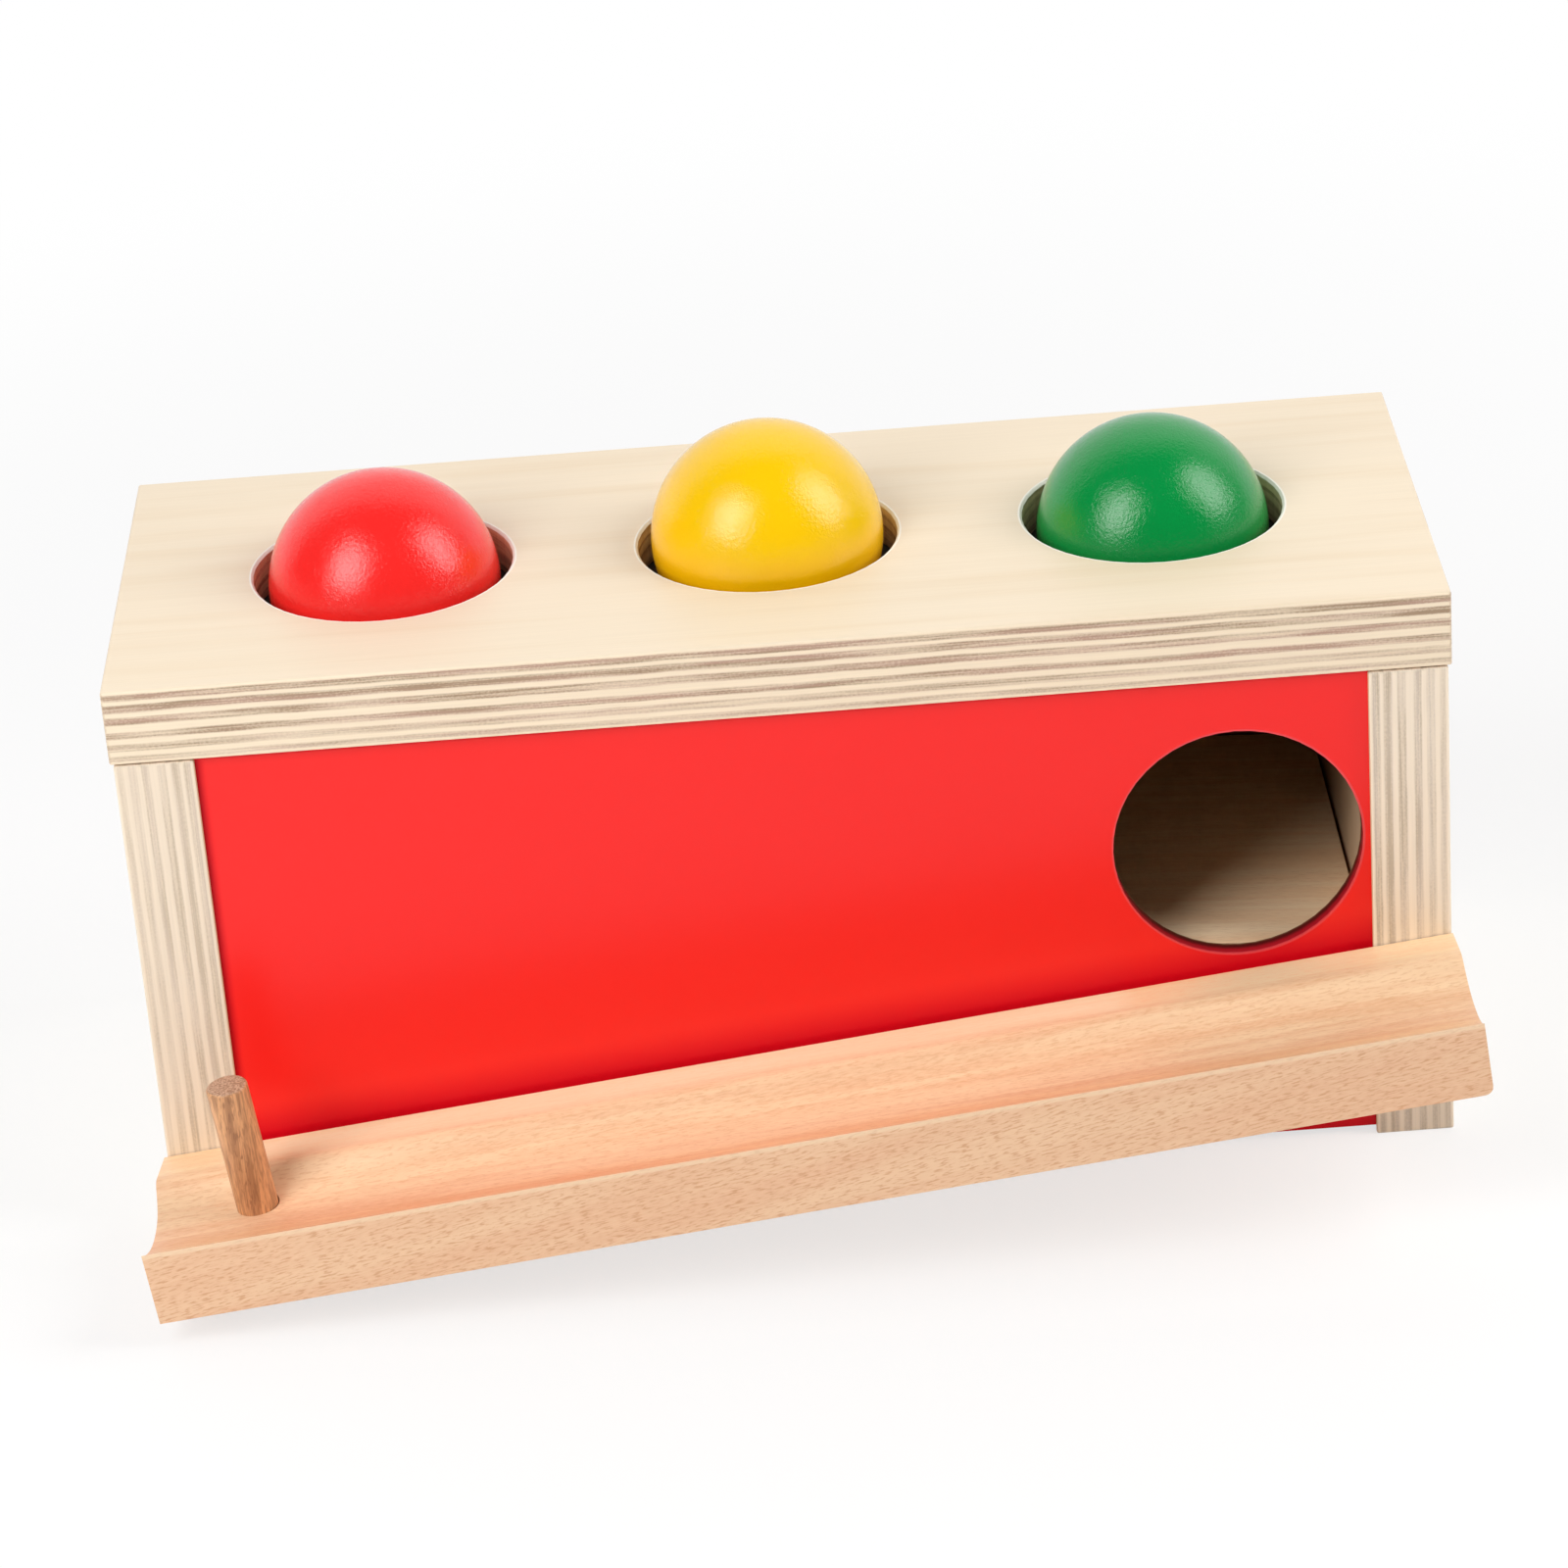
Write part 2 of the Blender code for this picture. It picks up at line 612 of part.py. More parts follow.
def add_rail(box, dowel_holes):
    """Grooved rail, carried by a sloping empty at the middle of its bottom back edge, and its peg."""
    carrier = empty("rail_slope", rail_origin(), (0.0, -RAIL_SLOPE, 0.0), box)
    mesh = round_low_corner(extruded_mesh("ball_rail", rail_outline(), RAIL_LENGTH))
    rail = piece("ball_rail", mesh, (0.0, 0.0, 0.0), carrier)
    paint(rail, BEECH_COLOUR, 0.5)
    ease(rail, RAIL_EASE)

    seat = (PEG_FROM_END - RAIL_LENGTH / 2, PEG_BEHIND_GROOVE - GROOVE_OUT, RAIL_GROOVE_THICKNESS)
    depth = PEG_SEAT_DEPTH + GAP
    bore = hole_mesh("peg_hole", PEG_RADIUS + GAP, 2 * depth, PEG_SIDES)
    cut(rail, cutter("peg_hole", bore, seat, carrier), dowel_holes)

    length = PEG_SEAT_DEPTH + PEG_STANDOUT
    mesh = pin_mesh("stop_peg", PEG_RADIUS, length, PEG_EASE, PEG_SIDES)
    place = Vector(seat) + Vector((0.0, 0.0, length / 2 - PEG_SEAT_DEPTH))
    paint(piece("stop_peg", mesh, place, carrier), DARK_BEECH_COLOUR, 0.5)


def add_fasteners(name, mesh, places, colour, roughness, metallic, box):
    """Like fasteners, numbered from 1, which share one mesh and its material."""
    for number, place in enumerate(places, start=1):
        fastener = piece(f"{name}_{number}", mesh, (0.0, 0.0, 0.0), box)
        fastener.matrix_basis = place
    paint(fastener, colour, roughness, metallic)


def add_holes(name, mesh, places, box):
    """One cutter for all the holes of a group of fasteners."""
    return cutter(name, copies_mesh(name, mesh, places), (0.0, 0.0, 0.0), box)


def build():
    """Build the whole toy."""
    box = empty("box_middle", (0.0, BOX_MIDDLE_Y, 0.0))

    dowel = pin_mesh("top_dowel", TOP_DOWEL_RADIUS, TOP_DOWEL_LENGTH, DOWEL_EASE, DOWEL_SIDES)
    add_fasteners("top_dowel", dowel, top_dowel_places(), BEECH_COLOUR, 0.6, 0.0, box)
    bore = hole_mesh("top_dowel_hole", TOP_DOWEL_RADIUS + GAP, TOP_DOWEL_LENGTH + 2 * GAP, DOWEL_SIDES)
    top_dowel_holes = add_holes("top_dowel_holes", bore, top_dowel_places(), box)

    dowel = pin_mesh("rail_dowel", RAIL_DOWEL_RADIUS, RAIL_DOWEL_LENGTH, DOWEL_EASE, DOWEL_SIDES)
    add_fasteners("rail_dowel", dowel, rail_dowel_places(), BEECH_COLOUR, 0.6, 0.0, box)
    bore = hole_mesh("rail_dowel_hole", RAIL_DOWEL_RADIUS + GAP, RAIL_DOWEL_LENGTH + 2 * GAP, DOWEL_SIDES)
    rail_dowel_holes = add_holes("rail_dowel_holes", bore, rail_dowel_places(), box)

    screw = screw_mesh("retainer_screw", RETAINER_SCREW_LENGTH)
    add_fasteners("retainer_screw", screw, retainer_screw_places(), STEEL_COLOUR, 0.35, 1.0, box)
    bore = screw_hole_mesh("retainer_screw_hole", RETAINER_SCREW_LENGTH)
    retainer_holes = add_holes("retainer_screw_holes", bore, retainer_screw_places(), box)

    screw = screw_mesh("cleat_screw", CLEAT_SCREW_LENGTH)
    add_fasteners("cleat_screw", screw, cleat_screw_places(), STEEL_COLOUR, 0.35, 1.0, box)
    bore = screw_hole_mesh("cleat_screw_hole", CLEAT_SCREW_LENGTH)
    cleat_holes = add_holes("cleat_screw_holes", bore, cleat_screw_places(), box)

    add_top_panel(box, top_dowel_holes, retainer_holes)
    grooves = add_panel_grooves(box)
    side_holes = (top_dowel_holes, rail_dowel_holes, cleat_holes)
    add_side_panel("left_side_panel", -1, box, grooves, side_holes)
    add_side_panel("right_side_panel", 1, box, grooves, side_holes)
    add_front_panel(box)
    add_thin_panel("back_panel", 1, box)
    ramp_space = add_ramp(box)
    add_cleats(box, ramp_space, cleat_holes)
    add_retainer(box, retainer_holes)
    for name, x in HOLE_PLACES.items():
        add_grip_ring(name, x, BALL_SEATS[name], box)
        add_ball(name, x, BALL_SEATS[name], box)
    add_rail(box, rail_dowel_holes)


build()
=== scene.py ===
"""Looks of the ball pounding bench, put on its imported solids.

The solids keep their shapes. This script gives each of them its finish, models the lacquered balls, the peg
and the screws again in finer form, and sets up the floor, the light and the camera. Metres, +Z up. X runs
along the bench and its front faces -Y.
"""

import logging
import math
from collections.abc import Callable
from dataclasses import dataclass
from enum import Enum

import bmesh
import bpy
from mathutils import Color, Matrix, Vector


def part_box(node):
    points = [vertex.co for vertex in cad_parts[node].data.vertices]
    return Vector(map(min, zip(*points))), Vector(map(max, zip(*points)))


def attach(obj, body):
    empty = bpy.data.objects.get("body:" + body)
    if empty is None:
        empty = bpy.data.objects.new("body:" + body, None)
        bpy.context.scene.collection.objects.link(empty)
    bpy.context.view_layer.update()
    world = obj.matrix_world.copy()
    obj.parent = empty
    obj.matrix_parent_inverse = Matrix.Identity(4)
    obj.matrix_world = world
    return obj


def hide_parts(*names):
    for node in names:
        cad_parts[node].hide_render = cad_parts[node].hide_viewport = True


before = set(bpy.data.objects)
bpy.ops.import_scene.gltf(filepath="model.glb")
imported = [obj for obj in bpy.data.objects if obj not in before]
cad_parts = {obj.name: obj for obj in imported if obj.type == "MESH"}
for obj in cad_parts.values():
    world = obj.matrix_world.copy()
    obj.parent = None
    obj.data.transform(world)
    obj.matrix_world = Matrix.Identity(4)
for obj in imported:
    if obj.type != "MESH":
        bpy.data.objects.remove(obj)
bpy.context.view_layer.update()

LOG = logging.getLogger("ball_pounding_bench")
MM = 0.001
UP = Vector((0.0, 0.0, 1.0))
RAIL_SLOPE = math.radians(6.43)

Colour = tuple[float, float, float, float]
Socket = bpy.types.NodeSocket
Feed = Socket | float | tuple
Piece = bpy.types.Object
# The ends of a stretch of values and, where it has four numbers, what they become
Span = tuple[float, ...]

WHITE: Colour = (1.0, 1.0, 1.0, 1.0)
ORIGIN = (0.0, 0.0, 0.0)


def screen(red: float, green: float, blue: float) -> Colour:
    """Turn a colour as a screen shows it, 0 to 255, into the linear colour that a shader takes."""
    linear = Color((red / 255, green / 255, blue / 255)).from_srgb_to_scene_linear()
    return (linear.r, linear.g, linear.b, 1.0)


class Along(Enum):
    """The object axis that a piece's grain runs along, as the axes taken for (along, across, through)."""

    X = ("X", "Y", "Z")
    Y = ("Y", "X", "Z")
    Z = ("Z", "Y", "X")


class Pattern(Enum):
    """The node groups that the finishes place, by the group's name."""

    FIBRES = "wood_fibres"
    PLYWOOD = "plywood_layers"
    BEECH = "beech_grain"
    LACQUER = "sprayed_lacquer"


@dataclass(frozen=True)
class Mottle:
    """Smooth noise from 0 to 1, whose spots are about one unit of the vector wide.

    Where spots is given, it says how many of them a unit holds along each axis. Where span is given, the
    noise is mapped to it.
    """

    spots: tuple[float, float, float] | None = None
    detail: float = 2.0
    roughness: float = 0.5
    distortion: float = 0.0
    span: Span = ()


class Wiring:
    """Adds nodes to one node tree and links them."""

    def __init__(self, tree: bpy.types.NodeTree) -> None:
        """Work on a tree."""
        self.tree = tree

    def feed(self, socket: Socket, value: Feed) -> None:
        """Link another socket to an input, or set the input's own value.

        Args:
            socket: The input.
            value: The other socket, or the value.
        """
        if isinstance(value, Socket):
            self.tree.links.new(value, socket)
        else:
            socket.default_value = value

    def add(self, kind: str, inputs: dict[str | int, Feed] | None = None, **settings) -> bpy.types.Node:
        """Add a shader node.

        Args:
            kind: The node's type, without its ShaderNode prefix.
            inputs: What feeds each input.
            **settings: The node's own options.

        Returns:
            The new node.
        """
        node = self.tree.nodes.new("ShaderNode" + kind)
        for name, value in settings.items():
            setattr(node, name, value)
        for key, value in (inputs or {}).items():
            self.feed(node.inputs[key], value)
        return node

    def group(self, pattern: Pattern, vector: Feed, **inputs: Feed) -> bpy.types.bpy_prop_collection:
        """Place one of the shared node groups, and hand back its outputs by name."""
        node_tree = bpy.data.node_groups[pattern.value]
        return self.add("Group", {"Vector": vector, **inputs}, node_tree=node_tree).outputs

    def maths(self, operation: str, *values: Feed) -> Socket:
        """Work out one number from others."""
        return self.add("Math", dict(enumerate(values)), operation=operation).outputs[0]

    def times(self, first: Feed, second: Feed) -> Socket:
        """Multiply two numbers."""
        return self.maths("MULTIPLY", first, second)

    def minus(self, first: Feed, second: Feed) -> Socket:
        """Take the second number from the first."""
        return self.maths("SUBTRACT", first, second)

    def vectors(self, operation: str, *values: Feed) -> Socket:
        """Work out a vector from others."""
        return self.add("VectorMath", dict(enumerate(values)), operation=operation).outputs["Vector"]

    def distance(self, first: Feed, second: Feed) -> Socket:
        """How far two places are apart."""
        return self.add("VectorMath", {0: first, 1: second}, operation="DISTANCE").outputs["Value"]

    def noise(self, vector: Feed, mottle: Mottle = Mottle()) -> Socket:
        """Add noise.

        Args:
            vector: The place that it follows.
            mottle: Its spots, its character and its span.

        Returns:
            A number.
        """
        if mottle.spots:
            vector = self.vectors("MULTIPLY", vector, mottle.spots)
        inputs = {"Vector": vector, "Scale": 1.0, "Detail": mottle.detail, "Roughness": mottle.roughness,
                  "Distortion": mottle.distortion}
        value = self.add("TexNoise", inputs).outputs[0]
        return self.span(value, *mottle.span) if mottle.span else value

    def span(self, value: Feed, low: float, high: float, to_low: float = 0.0, to_high: float = 1.0) -> Socket:
        """Map a stretch of values smoothly onto another, and hold it beyond its ends."""
        inputs = {"Value": value, "From Min": low, "From Max": high, "To Min": to_low, "To Max": to_high}
        return self.add("MapRange", inputs, interpolation_type="SMOOTHSTEP").outputs[0]

    def fade(self, value: Feed, low: float, high: float, share: float = 1.0) -> Socket:
        """Mask the values below a stretch, and fade the mask out over it."""
        return self.span(value, low, high, share, 0.0)

    def blend(self, share: Feed, first: Feed, second: Feed, blend_type: str = "MIX") -> Socket:
        """Mix two colours.

        Args:
            share: How much of the second, 0 to 1.
            first: The first colour.
            second: The second colour.
            blend_type: How they are mixed.

        Returns:
            The mixed colour.
        """
        node = self.add("Mix", data_type="RGBA", blend_type=blend_type)
        for index, value in ((0, share), (6, first), (7, second)):
            self.feed(node.inputs[index], value)
        return node.outputs[2]

    def shade(self, colour: Feed, value: Feed) -> Socket:
        """Multiply a colour by one number."""
        return self.blend(1.0, colour, self.join(value, value, value), "MULTIPLY")

    def parts(self, vector: Feed) -> dict[str, Socket]:
        """Split a vector into its X, Y and Z."""
        return dict(zip("XYZ", self.add("SeparateXYZ", {0: vector}).outputs))

    def join(self, x: Feed, y: Feed, z: Feed) -> Socket:
        """Make a vector from its parts."""
        return self.add("CombineXYZ", {0: x, 1: y, 2: z}).outputs[0]

    def seen(self, glossy_share: Feed) -> Socket:
        """Mask the rays that see the white background.

        Args:
            glossy_share: How much of it a glossy ray sees.

        Returns:
            The mask.
        """
        path = self.add("LightPath").outputs
        glossy = self.times(path["Is Glossy Ray"], glossy_share)
        seen = self.maths("MAXIMUM", path["Is Camera Ray"], path["Is Transmission Ray"])
        return self.maths("MAXIMUM", glossy, seen)


class Effect:
    """A shader node group, with named inputs and outputs, that materials share."""

    def __init__(self, pattern: Pattern, inputs: dict[str, Feed]) -> None:
        """Make the group with its inputs.

        Args:
            pattern: Which of the shared groups it is.
            inputs: Each input's name and value. Three numbers make a vector and four a colour.
        """
        self.tree = bpy.data.node_groups.new(pattern.value, "ShaderNodeTree")
        kinds = {1: "NodeSocketFloat", 3: "NodeSocketVector", 4: "NodeSocketColor"}
        for label, value in inputs.items():
            kind = kinds[1 if isinstance(value, float) else len(value)]
            socket = self.tree.interface.new_socket(label, in_out="INPUT", socket_type=kind)
            socket.default_value = value
        self.wiring = Wiring(self.tree)
        self.inputs = self.tree.nodes.new("NodeGroupInput").outputs

    def give(self, **results: Feed) -> None:
        """Put out what the group makes.

        Args:
            **results: Each output's name and what feeds it. Color is a colour and the others are numbers.
        """
        for name in results:
            kind = "NodeSocketColor" if name == "Color" else "NodeSocketFloat"
            self.tree.interface.new_socket(name, in_out="OUTPUT", socket_type=kind)
        outputs = self.tree.nodes.new("NodeGroupOutput").inputs
        for name, value in results.items():
            self.wiring.feed(outputs[name], value)


@dataclass(frozen=True)
class WoodFibres:
    """Wood fibres: fine streaks, and a broad figure, both drawn out along X."""

    streaks: Mottle = Mottle(detail=3.0, roughness=0.65)
    figure: Mottle = Mottle((0.22, 0.09, 0.09), detail=3.0, roughness=0.55, distortion=0.4)

    def build(self) -> None:
        """Build the node group."""
        effect = Effect(Pattern.FIBRES, {"Vector": ORIGIN, "Length": 30 * MM, "Width": 0.6 * MM})
        wiring, given = effect.wiring, effect.inputs
        size = wiring.join(given["Length"], given["Width"], given["Width"])
        fine = wiring.vectors("DIVIDE", given["Vector"], size)
        effect.give(Streaks=wiring.noise(fine, self.streaks), Figure=wiring.noise(fine, self.figure))


@dataclass(frozen=True)
class PlywoodLayers:
    """Plywood right through: its two veneered faces, and bands of long and end grain on its edges.

    A ply is where it ends, as a share of the board from its near face, and how dark its end grain is.
    """

    plies: tuple[tuple[float, float], ...] = (
        (0.045, 0.0), (0.13, 1.0), (0.185, 0.0), (0.285, 1.0), (0.355, 0.0), (0.455, 1.0), (0.56, 0.0),
        (0.65, 1.0), (0.72, 0.0), (0.82, 0.55), (0.885, 0.0), (0.955, 0.6), (1.0, 0.0),
    )
    seam: float = 0.012
    waver: Mottle = Mottle((45.0, 45.0, 25.0), detail=3.0)
    bend: float = 0.05
    end_mottles: tuple[Mottle, ...] = (
        Mottle((30.0, 30.0, 620.0), detail=3.0, roughness=0.6, span=(0.3, 0.68, 0.45, 1.2)),
        Mottle((28.0, 28.0, 2600.0), span=(0.32, 0.68, 0.62, 1.32)),
        Mottle((1500.0, 1500.0, 2200.0), span=(0.3, 0.75, 0.78, 1.2)),
    )
    hues: Mottle = Mottle((21.0, 21.0, 480.0), span=(0.4, 0.62))
    fibre_length: float = 35 * MM
    fibre_width: float = 0.7 * MM
    streaks: Span = (0.3, 0.7, 0.955, 1.015)
    faint_streaks: Span = (0.35, 0.7, 0.98, 1.005)
    figure: Span = (0.42, 0.78)
    far_side: Span = (0.4, 0.6)
    on_face: Span = (0.7, 0.95)
    streak_relief: float = 0.35
    end_relief: float = -0.5

    def cross_grain(self, wiring: Wiring, depth: Feed) -> Socket:
        """Turn a depth in the plywood into how dark the end grain there is.

        Args:
            wiring: The node group's wiring.
            depth: The depth, as a share of the board.

        Returns:
            The darkness.
        """
        stops = [(0.0, self.plies[0][1])]
        for (end, height), (_, following) in zip(self.plies, self.plies[1:]):
            stops += [(end - self.seam, height), (end + self.seam, following)]
        stops.append((1.0, self.plies[-1][1]))
        ramp = wiring.add("ValToRGB", {0: depth})
        elements = ramp.color_ramp.elements
        while len(elements) < len(stops):
            elements.new(1.0)
        for element, (place, height) in zip(elements, stops):
            element.position = place
            element.color = (height, height, height, 1.0)
        return ramp.outputs[0]

    def build(self) -> None:
        """Build the node group."""
        colours = dict.fromkeys(("Light", "Dark", "Blush", "Near", "Far", "Figure"), WHITE)
        inputs = {"Vector": ORIGIN, "Facing": tuple(UP), "Thickness": 18 * MM, **colours}
        effect = Effect(Pattern.PLYWOOD, inputs)
        wiring, given = effect.wiring, effect.inputs
        vector = given["Vector"]
        facing = wiring.parts(given["Facing"])
        along_face, across_face, flat_face = (wiring.maths("ABSOLUTE", facing[axis]) for axis in "XYZ")

        bend = wiring.maths("MULTIPLY_ADD", wiring.noise(vector, self.waver), self.bend, -self.bend / 2)
        depth = wiring.maths("DIVIDE", wiring.parts(vector)["Z"], given["Thickness"])
        cross = self.cross_grain(wiring, wiring.maths("ADD", depth, bend))
        long_end = wiring.times(wiring.minus(1.0, cross), along_face)
        dark = wiring.maths("MULTIPLY_ADD", cross, across_face, long_end)
        for mottle in self.end_mottles:
            dark = wiring.times(dark, wiring.noise(vector, mottle))

        grain = wiring.group(Pattern.FIBRES, vector, Length=self.fibre_length, Width=self.fibre_width)
        end_colour = wiring.blend(wiring.noise(vector, self.hues), given["Dark"], given["Blush"])
        band = wiring.blend(dark, given["Light"], end_colour)
        band = wiring.shade(band, wiring.span(grain["Streaks"], *self.streaks))

        surface = wiring.blend(wiring.span(depth, *self.far_side), given["Near"], given["Far"])
        figure = wiring.span(grain["Figure"], *self.figure)
        warm = wiring.blend(figure, surface, given["Figure"], "MULTIPLY")
        veneer = wiring.shade(warm, wiring.span(grain["Streaks"], *self.faint_streaks))
        colour = wiring.blend(wiring.span(flat_face, *self.on_face), band, veneer)
        relief = wiring.times(grain["Streaks"], self.streak_relief)
        effect.give(Color=colour, Height=wiring.maths("MULTIPLY_ADD", dark, self.end_relief, relief))


@dataclass(frozen=True)
class BeechGrain:
    """Beech: a soft figure with short dark flecks along X, and a darker, pored end grain.

    On faces that look up, the figure is at its fullest and the flecks are calm.
    """

    fibre_length: float = 45 * MM
    fibre_width: float = 1.1 * MM
    bands: Mottle = Mottle((13.0, 330.0, 90.0), distortion=0.5)
    tone: Span = (0.76, 1.24, -0.5, 0.5)
    fuller_figure: Span = (0.0, 0.7, 0.55, 1.0)
    strokes: Mottle = Mottle((390.0, 2200.0, 2200.0), distortion=0.3)
    shine: Span = (0.3, 0.52, 0.5, 0.0)
    fleck: Span = (0.5, 0.68)
    calmer_flecks: Span = (0.0, 0.7, 1.0, 0.55)
    streaks: Span = (0.36, 0.62)
    pores: Mottle = Mottle((900.0, 2000.0, 2000.0), span=(0.4, 0.64, 0.15, 0.85))
    on_end: Span = (0.6, 0.9)
    fleck_relief: float = -0.6

    def build(self) -> None:
        """Build the node group."""
        colours = dict.fromkeys(("Light", "Warm", "Fleck", "End"), WHITE)
        inputs = {"Vector": ORIGIN, "Facing": tuple(UP), **colours, "Flecks": 0.6, "Streaking": 0.1}
        effect = Effect(Pattern.BEECH, inputs)
        wiring, given = effect.wiring, effect.inputs
        vector = given["Vector"]
        facing = wiring.parts(given["Facing"])
        upward = wiring.maths("ABSOLUTE", facing["Z"])
        grain = wiring.group(Pattern.FIBRES, vector, Length=self.fibre_length, Width=self.fibre_width)

        figure = wiring.maths("ADD", grain["Figure"], wiring.noise(vector, self.bands))
        swing = wiring.span(upward, *self.fuller_figure)
        share = wiring.maths("MULTIPLY_ADD", wiring.span(figure, *self.tone), swing, 0.5)
        body = wiring.blend(share, given["Light"], given["Warm"])

        strokes = wiring.noise(vector, self.strokes)
        shine = wiring.times(wiring.span(strokes, *self.shine), given["Flecks"])
        lively = wiring.blend(shine, body, given["Light"])
        fleck = wiring.span(strokes, *self.fleck)
        share = wiring.times(wiring.times(fleck, given["Flecks"]), wiring.span(upward, *self.calmer_flecks))
        flecked = wiring.blend(share, lively, given["Fleck"])
        streaked = wiring.times(wiring.fade(grain["Streaks"], *self.streaks), given["Streaking"])
        side = wiring.blend(streaked, flecked, given["Fleck"])

        end_grain = wiring.blend(wiring.noise(vector, self.pores), given["End"], given["Fleck"])
        end_face = wiring.maths("ABSOLUTE", facing["X"])
        colour = wiring.blend(wiring.span(end_face, *self.on_end), side, end_grain)
        height = wiring.maths("MULTIPLY_ADD", fleck, self.fleck_relief, grain["Streaks"])
        effect.give(Color=colour, Height=height)


@dataclass(frozen=True)
class SprayedLacquer:
    """Sprayed lacquer: a fine orange peel, slow waves under it and a little uneven gloss."""

    peel: Mottle = Mottle(detail=3.0, roughness=0.65)
    wave: Mottle = Mottle()
    wave_height: float = 2.0

    def build(self) -> None:
        """Build the node group."""
        effect = Effect(Pattern.LACQUER, {"Vector": ORIGIN, "Peel": 0.9 * MM, "Wave": 12 * MM})
        wiring, given = effect.wiring, effect.inputs
        peel = wiring.noise(wiring.vectors("DIVIDE", given["Vector"], given["Peel"]), self.peel)
        wave = wiring.noise(wiring.vectors("DIVIDE", given["Vector"], given["Wave"]), self.wave)
        height = wiring.maths("MULTIPLY_ADD", wave, self.wave_height, peel)
        effect.give(Height=height, Gloss=wave, Shade=peel)


class Finish:
    """A material with its Principled shader, and the coordinates that its pattern follows."""

    def __init__(self, name: str, roughness: float, **sockets: float) -> None:
        """Make the material.

        Args:
            name: The material's name.
            roughness: Roughness all over, unless it is fed later.
            **sockets: Other sockets of the shader that are the same all over, with _ for each space.
        """
        self.material = bpy.data.materials.new(name)
        self.material.use_nodes = True
        self.wiring = Wiring(self.material.node_tree)
        self.shader = self.material.node_tree.nodes["Principled BSDF"]
        for label, value in {"Roughness": roughness, **sockets}.items():
            self.shader.inputs[label.replace("_", " ")].default_value = value
        coordinates = self.wiring.add("TexCoord")
        self.place = coordinates.outputs["Object"]
        self.facing = coordinates.outputs["Normal"]
        self.fed: dict[str, Feed] = {}

    def turned(self, origin: Vector, along: Along, slope: float = 0.0) -> tuple[Feed, Feed]:
        """Turn place and facing to (along, across, through) the grain.

        Args:
            origin: The point that the pattern starts from.
            along: Which object axes the parts are.
            slope: How far the grain rises over X, in radians.

        Returns:
            The place from the origin, and the facing.
        """
        wiring = self.wiring
        results = []
        for vector in (wiring.vectors("SUBTRACT", self.place, tuple(origin)), self.facing):
            if slope:
                turn = (0.0, slope, 0.0)
                vector = wiring.add("Mapping", {"Vector": vector, "Rotation": turn}).outputs[0]
            parts = wiring.parts(vector)
            results.append(wiring.join(*(parts[axis] for axis in along.value)))
        return results[0], results[1]

    def feed(self, label: str, value: Feed) -> None:
        """Feed one of the shader's sockets, and note what feeds it."""
        self.wiring.feed(self.shader.inputs[label], value)
        self.fed[label] = value

    def bump(self, height: Feed, distance: float) -> None:
        """Feed the shader's normal from a height."""
        self.feed("Normal", self.wiring.add("Bump", {"Height": height, "Distance": distance}).outputs[0])

    def calmed(self, colour: Feed, bounced: Colour, share: float) -> Feed:
        """Blend another colour into what the finish throws onto the things round it.

        Args:
            colour: The colour that is seen.
            bounced: The other colour.
            share: How much of it, 0 to 1.

        Returns:
            The colour, calmed for diffuse rays alone.
        """
        reflected = self.wiring.times(self.wiring.add("LightPath").outputs["Is Diffuse Ray"], share)
        return self.wiring.blend(reflected, colour, bounced)

    def dress(self, *nodes: str) -> None:
        """Give CAD nodes this finish.

        Args:
            *nodes: The nodes' names.
        """
        for name in nodes:
            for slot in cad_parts[name].material_slots:
                slot.material = self.material
            LOG.info("%s keeps its solid, finished in %s", name, self.material.name)


